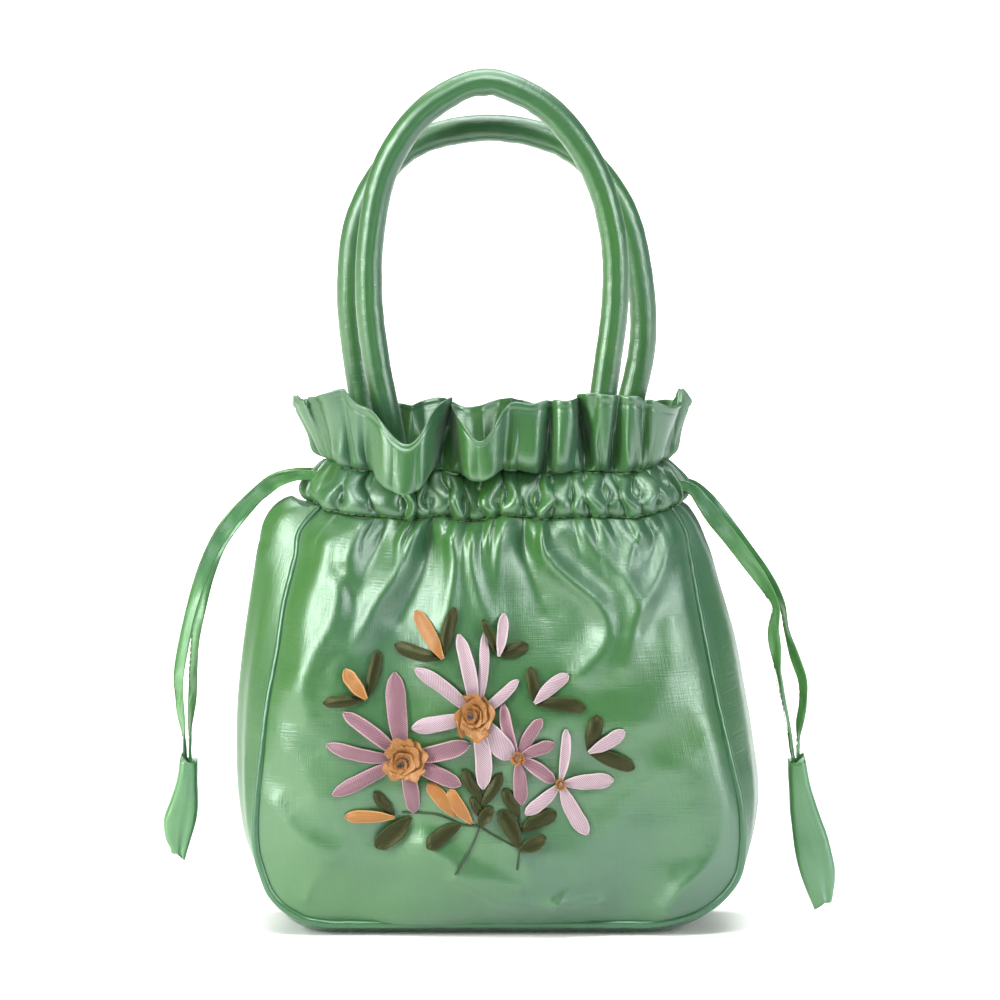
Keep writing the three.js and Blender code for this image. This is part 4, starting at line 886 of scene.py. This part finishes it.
def several(name, grids, around=False, capped=False, marks=None):
    """One mesh made of several grids. marks are values at its points, kept as the attribute selvage."""
    parts = [cloth(f"{name}_{k}", grid, around=around, capped=capped) for k, grid in enumerate(grids)]
    for part, values in zip(parts, marks or []):
        part.data.attributes.new("selvage", "FLOAT", "POINT").data.foreach_set("value", values.ravel())
    whole = parts[0]
    with bpy.context.temp_override(
        active_object=whole, object=whole, selected_objects=parts, selected_editable_objects=parts
    ):
        bpy.ops.object.join()
    whole.name = whole.data.name = name
    return whole


def ribbon_stitch(across, up, tip_across, tip_up, wide, seed, lift=0.0):
    """A stitch's outside as a grid of 30 by 15 points, and each point's distance from the ribbon's edge."""
    pick = np.random.default_rng(seed)
    share = np.linspace(0, 1, 30)[:, None]
    side = np.linspace(-1, 1, 15)[None]
    length = math.hypot(tip_across - across, tip_up - up)
    dx, dz = (tip_across - across) / length, (tip_up - up) / length
    blunt = pick.uniform(0.72, 0.84)
    width = smooth_line(
        share[:, 0], [0, 0.1, 0.3, 0.6, blunt, 0.94, 1], [0.2, 0.44, 0.84, 1, 0.94, 0.58, 0.14],
    )
    half = wide / 2 * width[:, None]
    bow = pick.uniform(-0.05, 0.05) * length * np.sin(math.pi * share)
    reach = share * length
    a = across + dx * reach - dz * (side * half + bow)
    u = up + dz * reach + dx * (side * half + bow)
    cup = pick.choice([-1.1, -0.7, 0.8]) * side ** 2 * np.sin(math.pi * share ** 1.4) ** 0.7
    curl = pick.choice([-1, 1]) * pick.uniform(0.1, 0.45) * side * np.sin(math.pi * share ** 1.8)
    loft = RIBBON_LOFT * pick.uniform(0.9, 1.3) * (0.25 + np.sin(math.pi * np.clip(share, 0.02, 0.97)) ** 0.7)
    ends = np.exp(-share / 0.16) + np.exp((share - 1) / 0.1)
    creases = 0.16 * np.sin(side * 7 + pick.uniform(0, 6)) * ends
    foot = lift * np.clip(1 - 1.6 * share, 0, 1)
    height = np.maximum(RIBBON_LIFT, RIBBON_LIFT + foot + loft + cup + curl + creases)
    return over_panel(a, u, height), (1 - np.abs(side)) * half * UNIT + 0 * share


def ribbon(name, base, edge, gleam, slant=1.0):
    """Woven satin ribbon: a fine twill 0.6 mm apart that catches light line by line, raised by a bump and
    painted into the colour as highlight and shade, a soft gleam, and a paler picot edge of little loops 0.9
    mm apart."""
    material, tree, place = blank_material(name)
    turned = node(tree, "ShaderNodeMapping", {"Vector": place.outputs["UV"], "Rotation": (0, 0, 0.9 * slant)})
    twill = node(tree, "ShaderNodeTexWave", {
        "Vector": turned.outputs[0], "Scale": 500, "Distortion": 0.6, "Detail": 1, "Detail Scale": 1,
    }, bands_direction="X", wave_profile="SIN")
    clouds = node(tree, "ShaderNodeTexNoise", {"Vector": place.outputs["Object"], "Scale": 160, "Detail": 2})
    loops = node(tree, "ShaderNodeTexWave", {"Vector": place.outputs["UV"], "Scale": 350},
                 bands_direction="Y", wave_profile="SIN")
    reach = node(tree, "ShaderNodeMath", {0: loops.outputs["Fac"], 1: 0.35}, operation="MULTIPLY")
    edge_width = node(tree, "ShaderNodeMath", {0: reach.outputs[0], 1: 0.2}, operation="ADD")
    selvage = node(tree, "ShaderNodeAttribute", attribute_name="selvage")
    inside = node(tree, "ShaderNodeMath", {0: selvage.outputs["Fac"], 1: edge_width.outputs[0]},
                  operation="LESS_THAN")
    # Painted highlight and shade: each twill line is made lighter or darker in the colour, besides the bump
    # that raises it.
    shade = node(tree, "ShaderNodeMapRange", {
        "Value": twill.outputs["Fac"], "To Min": 0.6, "To Max": 1.3,
    })
    patch = node(tree, "ShaderNodeMapRange", {
        "Value": clouds.outputs["Fac"], "To Min": 0.86, "To Max": 1.12,
    })
    both = node(tree, "ShaderNodeMath", {0: shade.outputs[0], 1: patch.outputs[0]}, operation="MULTIPLY")
    woven = node(tree, "ShaderNodeMix", {0: 1.0, 6: linear(base), 7: both.outputs[0]},
                 data_type="RGBA", blend_type="MULTIPLY")
    colour = node(tree, "ShaderNodeMix", {0: inside.outputs[0], 6: woven.outputs[2], 7: linear(edge)},
                  data_type="RGBA")
    relief = node(tree, "ShaderNodeMath", {0: inside.outputs[0], 1: twill.outputs["Fac"]}, operation="ADD")
    bump = node(tree, "ShaderNodeBump", {"Height": relief.outputs[0], "Strength": 0.3, "Distance": 0.0002})
    shader = node(tree, "ShaderNodeBsdfPrincipled", {
        "Base Color": colour.outputs[2], "Roughness": 0.4, "Normal": bump.outputs[0], "IOR": 1.6,
        "Specular Tint": linear(gleam), "Sheen Weight": 0.12, "Sheen Roughness": 0.4,
        "Sheen Tint": linear(gleam),
    })
    node(tree, "ShaderNodeOutputMaterial", {"Surface": shader.outputs[0]})
    return material


RIBBONS = {
    "mauve_ribbon": ribbon("woven_mauve_ribbon", "#7c5963", "#ad8c94", "#f0e2e6"),
    "pale_ribbon": ribbon("woven_pale_ribbon", "#a08a92", "#bba9ad", "#fbf5f7", slant=-1.0),
    "apricot_ribbon": ribbon("woven_apricot_ribbon", "#95622f", "#b58650", "#fff0d8", slant=0.4),
    "olive_ribbon": ribbon("woven_olive_ribbon", "#1b1f0c", "#323516", "#c9cc98", slant=-0.7),
}

# Each flower: its material, its middle, and each stitch's tip and width, in units of the spray.
FLOWERS = {
    "left": ("mauve_ribbon", -18.6, 32.4, [
        (-20.4, 49.8, 4), (-30.6, 41.8, 2.8), (-34, 35.2, 2.8), (-32.8, 25, 3), (-16.6, 21.4, 3.2),
        (-7.2, 27.2, 3.2), (-5.4, 35.6, 3.4)]),
    "middle": ("pale_ribbon", -4.4, 41.2, [
        (-16.4, 50.8, 3), (-7.6, 57.8, 2.8), (-2.6, 58, 2), (4.2, 48.6, 2.2), (-17, 38.6, 3.2),
        (-2.7, 26.4, 3.2), (3, 32.6, 4.4)]),
    "right": ("mauve_ribbon", 4.2, 32.8, [
        (1.2, 43.8, 2.2), (8.8, 40.8, 2.6), (11.4, 35.6, 2.6), (11.4, 27.8, 2.6), (4.9, 23.2, 2.8)]),
    "low": ("pale_ribbon", 12.6, 27.4, [
        (13.8, 38.6, 1.9), (23.2, 28, 3.2), (18, 17, 3.2), (5.6, 21.2, 2.6)]),
}


def ribbon_work(name, stitches, kind, solid, seed, lift=0.0):
    grids, marks = zip(*[ribbon_stitch(*stitch, seed + 7 * k, lift) for k, stitch in enumerate(stitches)])
    made = several(name, grids, marks=marks)
    thicken(made, RIBBON_THICKNESS)
    dress(made, RIBBONS[kind], solid)


for name, (kind, across, up, petals) in FLOWERS.items():
    ribbon_work(f"{name}_flower_ribbons", [(across, up, *petal) for petal in petals], kind, f"{name}_flower",
                100 + len(name))

# Buds and leaves: each bud is one stitch over the feet of two olive leaf stitches.
SPRIGS = [
    ("apricot_ribbon", (-26, 44.6, -30.4, 50.4, 2.6), [(-23.6, 54.2, 2.2), (-34.6, 43.6, 2)]),
    ("apricot_ribbon", (-10.8, 53, -16.2, 62.2, 3), [(-8.4, 63.2, 2.2), (-20.4, 55.4, 2.4)]),
    ("pale_ribbon", (0.4, 53.4, 1.4, 61.8, 2), [(-2.8, 60.8, 1.2), (6.2, 55.4, 2.4)]),
    ("pale_ribbon", (7.4, 44, 14.2, 49.6, 2.8), [(6.6, 51.2, 2), (17.6, 42.8, 2.4)]),
    ("pale_ribbon", (18.2, 33.8, 25.4, 38.2, 2.8), [(20, 41.4, 2.6), (27.4, 30.4, 2.6)]),
    ("apricot_ribbon", (-20.4, 20.6, -30.4, 20.6, 2.6), [(-24.4, 25.8, 2), (-17.2, 20.4, -24.2, 14.2, 3)]),
]
LEAF_FULLNESS = 1.2
LOW_BUDS = [(-8.2, 20.7, -13.8, 27.6, 3), (-5, 19.4, -9.6, 26.4, 2.8)]
STEM_LEAVES = [
    (-3.1, 24.2, -6.8, 30.4, 2), (-3.3, 20.6, -5, 24.8, 1.6), (-3.2, 22.8, 0.8, 29.6, 2),
    (-3.6, 18.6, -1, 22.8, 2), (4.4, 20.6, 1.4, 26.4, 2.2), (4.4, 14.8, 0.6, 22, 2.6),
    (4.6, 18, 11.8, 21.4, 2.6), (4.5, 14.2, 9.6, 16.8, 2.4), (-7.2, 19.2, -14, 14.4, 2.6),
]


def full_leaves(leaves):
    return [(*leaf[:4], leaf[4] * LEAF_FULLNESS) for leaf in leaves]


for k, (kind, bud, leaves) in enumerate(SPRIGS, 1):
    ribbon_work(f"bud_{k}_ribbon", [bud], kind, f"bud_{k}", 200 + k, lift=2)
    feet = [leaf if len(leaf) == 5 else (*bud[:2], *leaf) for leaf in leaves]
    ribbon_work(f"bud_leaves_{k}_ribbons", full_leaves(feet), "olive_ribbon", f"bud_leaves_{k}", 220 + k)
for k, bud in enumerate(LOW_BUDS, 1):
    ribbon_work(f"low_bud_{k}_ribbon", [bud], "apricot_ribbon", f"low_bud_{k}", 240 + k)
ribbon_work("stem_leaf_ribbons", full_leaves(STEM_LEAVES), "olive_ribbon", "stems", 260)

# Roses and knots: apricot ribbon wound and folded over itself round the middle of each flower. Each turn
# stands up and rolls outwards. Each row is across, up, width and height in units of the spray, how far it
# stands out in millimetres, and the number of folds in each turn.
CENTRES = {
    "left_rose": (-18.4, 32.4, 10, 9.8, 4.6, (5, 4, 3, 2)),
    "middle_rose": (-4.4, 41.2, 8.4, 10.2, 4.2, (4, 4, 3, 2)),
    "right_knot": (4.2, 32.8, 3.1, 3.1, 2.4, (3, 2)),
    "low_knot": (12.6, 27.4, 2.4, 2.6, 2.2, (3, 2)),
}


def folded_rose(across, up, wide, high, height, rings, seed):
    pick = np.random.default_rng(seed)
    grids, marks = [], []
    start = RIBBON_LIFT + RIBBON_LOFT
    stray = pick.uniform(-0.4, 0.4, 2)
    for ring, count in enumerate(rings):
        outer = 1 - ring / (len(rings) + 0.35)
        for k in range(count):
            turn = 2 * math.pi * (k + 0.37 * ring + pick.uniform(-0.2, 0.2)) / count
            spread = 2 * math.pi / count * pick.uniform(0.75, 1.15)
            tall = height * pick.uniform(0.6, 1.1) * (1 - 0.1 * ring)
            slip = pick.uniform(-0.26, 0.26)
            angle = turn + np.linspace(-0.5, 0.5, 17)[None] * spread * 1.35
            off = np.linspace(-1, 1, 17)[None]
            roll = np.linspace(0, 1, 14)[:, None]
            reach = outer * (0.46 + 0.38 * roll + 0.22 * np.sin(math.pi * roll ** 1.3))
            reach = reach * (1 - 0.16 * off ** 2 + slip * off)
            rise = tall * np.sin(math.pi * (0.1 + 0.62 * roll)) ** 0.8 * (1 - 0.4 * off ** 2)
            rise = rise + 0.1 * height * np.sin(off * 9 + pick.uniform(0, 6)) * roll
            reach = reach * (1 + 0.09 * np.sin(off * 7 + pick.uniform(0, 6)) * roll)
            a = across + wide / 2 * (reach * np.cos(angle) + stray[0] * (1 - outer))
            u = up + high / 2 * (reach * np.sin(angle) + stray[1] * (1 - outer))
            grids.append(over_panel(a, u, start + rise))
            marks.append((1 - roll) * 4 + 0 * off)
    return grids, marks


for name, (across, up, wide, high, height, rings) in CENTRES.items():
    grids, marks = folded_rose(across, up, wide, high, height, rings, 300 + len(name))
    rose = several(name + "_folds", grids, marks=marks)
    thicken(rose, ROSE_THICKNESS)
    dress(rose, RIBBONS["apricot_ribbon"], name)


# Thread: yellow-green where the casing and the tapes are stitched, dark green in the stems. The stitches are
# laid along lines by one node tree.
def thread(name, colour, gleam):
    """Twisted polyester thread: dull, with a slight shine on each turn."""
    material, tree, place = blank_material(name)
    turns = node(tree, "ShaderNodeTexNoise", {"Vector": place.outputs["Object"], "Scale": 1800, "Detail": 2})
    shade = node(tree, "ShaderNodeMapRange", {"Value": turns.outputs["Fac"], "To Min": 0.75, "To Max": 1.2})
    colour = node(tree, "ShaderNodeMix", {0: 1.0, 6: linear(colour), 7: shade.outputs[0]},
                  data_type="RGBA", blend_type="MULTIPLY")
    bump = node(tree, "ShaderNodeBump", {"Height": turns.outputs["Fac"], "Strength": 0.4, "Distance": 0.0001})
    shader = node(tree, "ShaderNodeBsdfPrincipled", {
        "Base Color": colour.outputs[2], "Roughness": 0.55, "Normal": bump.outputs[0],
        "Sheen Weight": 0.3, "Sheen Tint": linear(gleam),
    })
    node(tree, "ShaderNodeOutputMaterial", {"Surface": shader.outputs[0]})
    return material


def stitch_tree():
    """Stitches along the edges of a mesh: each a thread that rises in the middle and sinks at its ends."""
    tree = bpy.data.node_groups.new("thread_stitches", "GeometryNodeTree")
    face = tree.interface
    face.new_socket("Line", in_out="INPUT", socket_type="NodeSocketGeometry")
    for name in ("Stitch", "Gap", "Thickness"):
        face.new_socket(name, in_out="INPUT", socket_type="NodeSocketFloat")
    face.new_socket("Thread", in_out="INPUT", socket_type="NodeSocketMaterial")
    face.new_socket("Stitches", in_out="OUTPUT", socket_type="NodeSocketGeometry")
    given = node(tree, "NodeGroupInput")
    pitch = node(tree, "ShaderNodeMath", {0: given.outputs["Stitch"], 1: given.outputs["Gap"]},
                 operation="ADD")
    line = node(tree, "GeometryNodeMeshToCurve", {"Mesh": given.outputs["Line"]})
    spots = node(tree, "GeometryNodeResampleCurve", {"Curve": line.outputs[0], "Length": pitch.outputs[0]},
                 mode="LENGTH")
    along = node(tree, "GeometryNodeInputTangent")
    turn = node(tree, "FunctionNodeAlignRotationToVector", {"Vector": along.outputs[0]}, axis="X")
    half = node(tree, "ShaderNodeMath", {0: given.outputs["Stitch"], 1: 0.5}, operation="MULTIPLY")
    back = node(tree, "ShaderNodeMath", {0: half.outputs[0], 1: -1.0}, operation="MULTIPLY")
    start = node(tree, "ShaderNodeCombineXYZ", {"X": back.outputs[0]})
    end = node(tree, "ShaderNodeCombineXYZ", {"X": half.outputs[0]})
    bar = node(tree, "GeometryNodeCurvePrimitiveLine", {"Start": start.outputs[0], "End": end.outputs[0]})
    bar_points = node(tree, "GeometryNodeResampleCurve", {"Curve": bar.outputs[0], "Count": 7},
                      mode="COUNT")
    share = node(tree, "GeometryNodeSplineParameter")
    swell = node(tree, "ShaderNodeFloatCurve", {"Value": share.outputs["Factor"]})
    curve = swell.mapping.curves[0]
    curve.points[0].location, curve.points[1].location = (0, 0.35), (1, 0.35)
    curve.points.new(0.25, 0.95)
    curve.points.new(0.75, 0.95)
    swell.mapping.update()
    ring = node(tree, "GeometryNodeCurvePrimitiveCircle", {
        "Resolution": 7, "Radius": given.outputs["Thickness"],
    })
    radius = node(tree, "GeometryNodeSetCurveRadius", {
        "Curve": bar_points.outputs[0], "Radius": swell.outputs[0],
    })
    body = node(tree, "GeometryNodeCurveToMesh", {
        "Curve": radius.outputs[0], "Profile Curve": ring.outputs[0], "Fill Caps": True,
    })
    laid = node(tree, "GeometryNodeInstanceOnPoints", {
        "Points": spots.outputs[0], "Instance": body.outputs[0], "Rotation": turn.outputs[0],
    })
    real = node(tree, "GeometryNodeRealizeInstances", {"Geometry": laid.outputs[0]})
    dyed = node(tree, "GeometryNodeSetMaterial", {
        "Geometry": real.outputs[0], "Material": given.outputs["Thread"],
    })
    node(tree, "NodeGroupOutput", {"Stitches": dyed.outputs[0]})
    return tree


THREAD_STITCHES = stitch_tree()


def stitched(name, lines, stitch, gap, thickness, material):
    """Stitches laid along lines of points, as one plain mesh. Sizes in millimetres."""
    points, edges = [], []
    for line in lines:
        edges += [(len(points) + k, len(points) + k + 1) for k in range(len(line) - 1)]
        points += (np.asarray(line) * MM).tolist()
    mesh = bpy.data.meshes.new(name + "_line")
    mesh.from_pydata(points, edges, [])
    guide = bpy.data.objects.new(name + "_line", mesh)
    bpy.context.collection.objects.link(guide)
    laying = guide.modifiers.new("stitches", "NODES")
    laying.node_group = THREAD_STITCHES
    sizes = {"Stitch": stitch * MM, "Gap": gap * MM, "Thickness": thickness / 2 * MM, "Thread": material}
    for socket in THREAD_STITCHES.interface.items_tree:
        if socket.in_out == "INPUT" and socket.name in sizes:
            laying[socket.identifier] = sizes[socket.name]
    depsgraph = bpy.context.evaluated_depsgraph_get()
    finished = bpy.data.meshes.new_from_object(guide.evaluated_get(depsgraph), depsgraph=depsgraph)
    finished.name = name
    bpy.data.objects.remove(guide)
    made = bpy.data.objects.new(name, finished)
    bpy.context.collection.objects.link(made)
    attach(made, "root")
    return made


sewing_thread = thread("sewing_thread", "#5d8a3c", "#e6f2b8")
stem_thread = thread("stem_thread", "#22381c", "#9fc08a")

# Casing seams: a row of stitches under and over the tunnel, a little sunk into the puckered cloth.
skin = casing_skin()
rows = []
SEAM_LIFT = 0.25
for level in (0, 25):
    row = skin[level]
    rows.append(np.vstack([row, row[:1]]) * (1 + SEAM_LIFT / 45, 1 + SEAM_LIFT / 30, 1))
casing_stitches = stitched("casing_stitches", rows, 2.1, 0.9, 0.3, sewing_thread)

# Tape seams: small stitches close to one edge of each tape, where its fold was sewn down.
for name, (piece, line, edge) in runs.items():
    seam = stitched(name + "_stitches", [edge[4:-2]], 1.9, 0.6, 0.34, sewing_thread)

# Stems: stem stitch in dark green thread, over the panel and under the flowers.
STEMS = [
    ((-3, 25.6), (-3.2, 22), (-3.6, 18.6), (-5.4, 14), (-8, 9.8)),
    ((-3.6, 18.8), (-7.2, 19.2), (-11.6, 21), (-15.4, 21.4), (-18.2, 21.4)),
    ((-3.6, 18.8), (-0.4, 16.8), (4.5, 14.4)),
    ((4.4, 22.4), (4.6, 16), (4, 10.8)),
]
lines = []
for stem in STEMS:
    stem = np.array(stem)
    line = smooth_line(np.linspace(0, len(stem) - 1, 60), np.arange(len(stem)), stem)
    lines.append(over_panel(line[:, 0], line[:, 1], 0.55))
stem_stitches = stitched("stem_stitches", lines, 3.0, -0.9, 0.8, stem_thread)
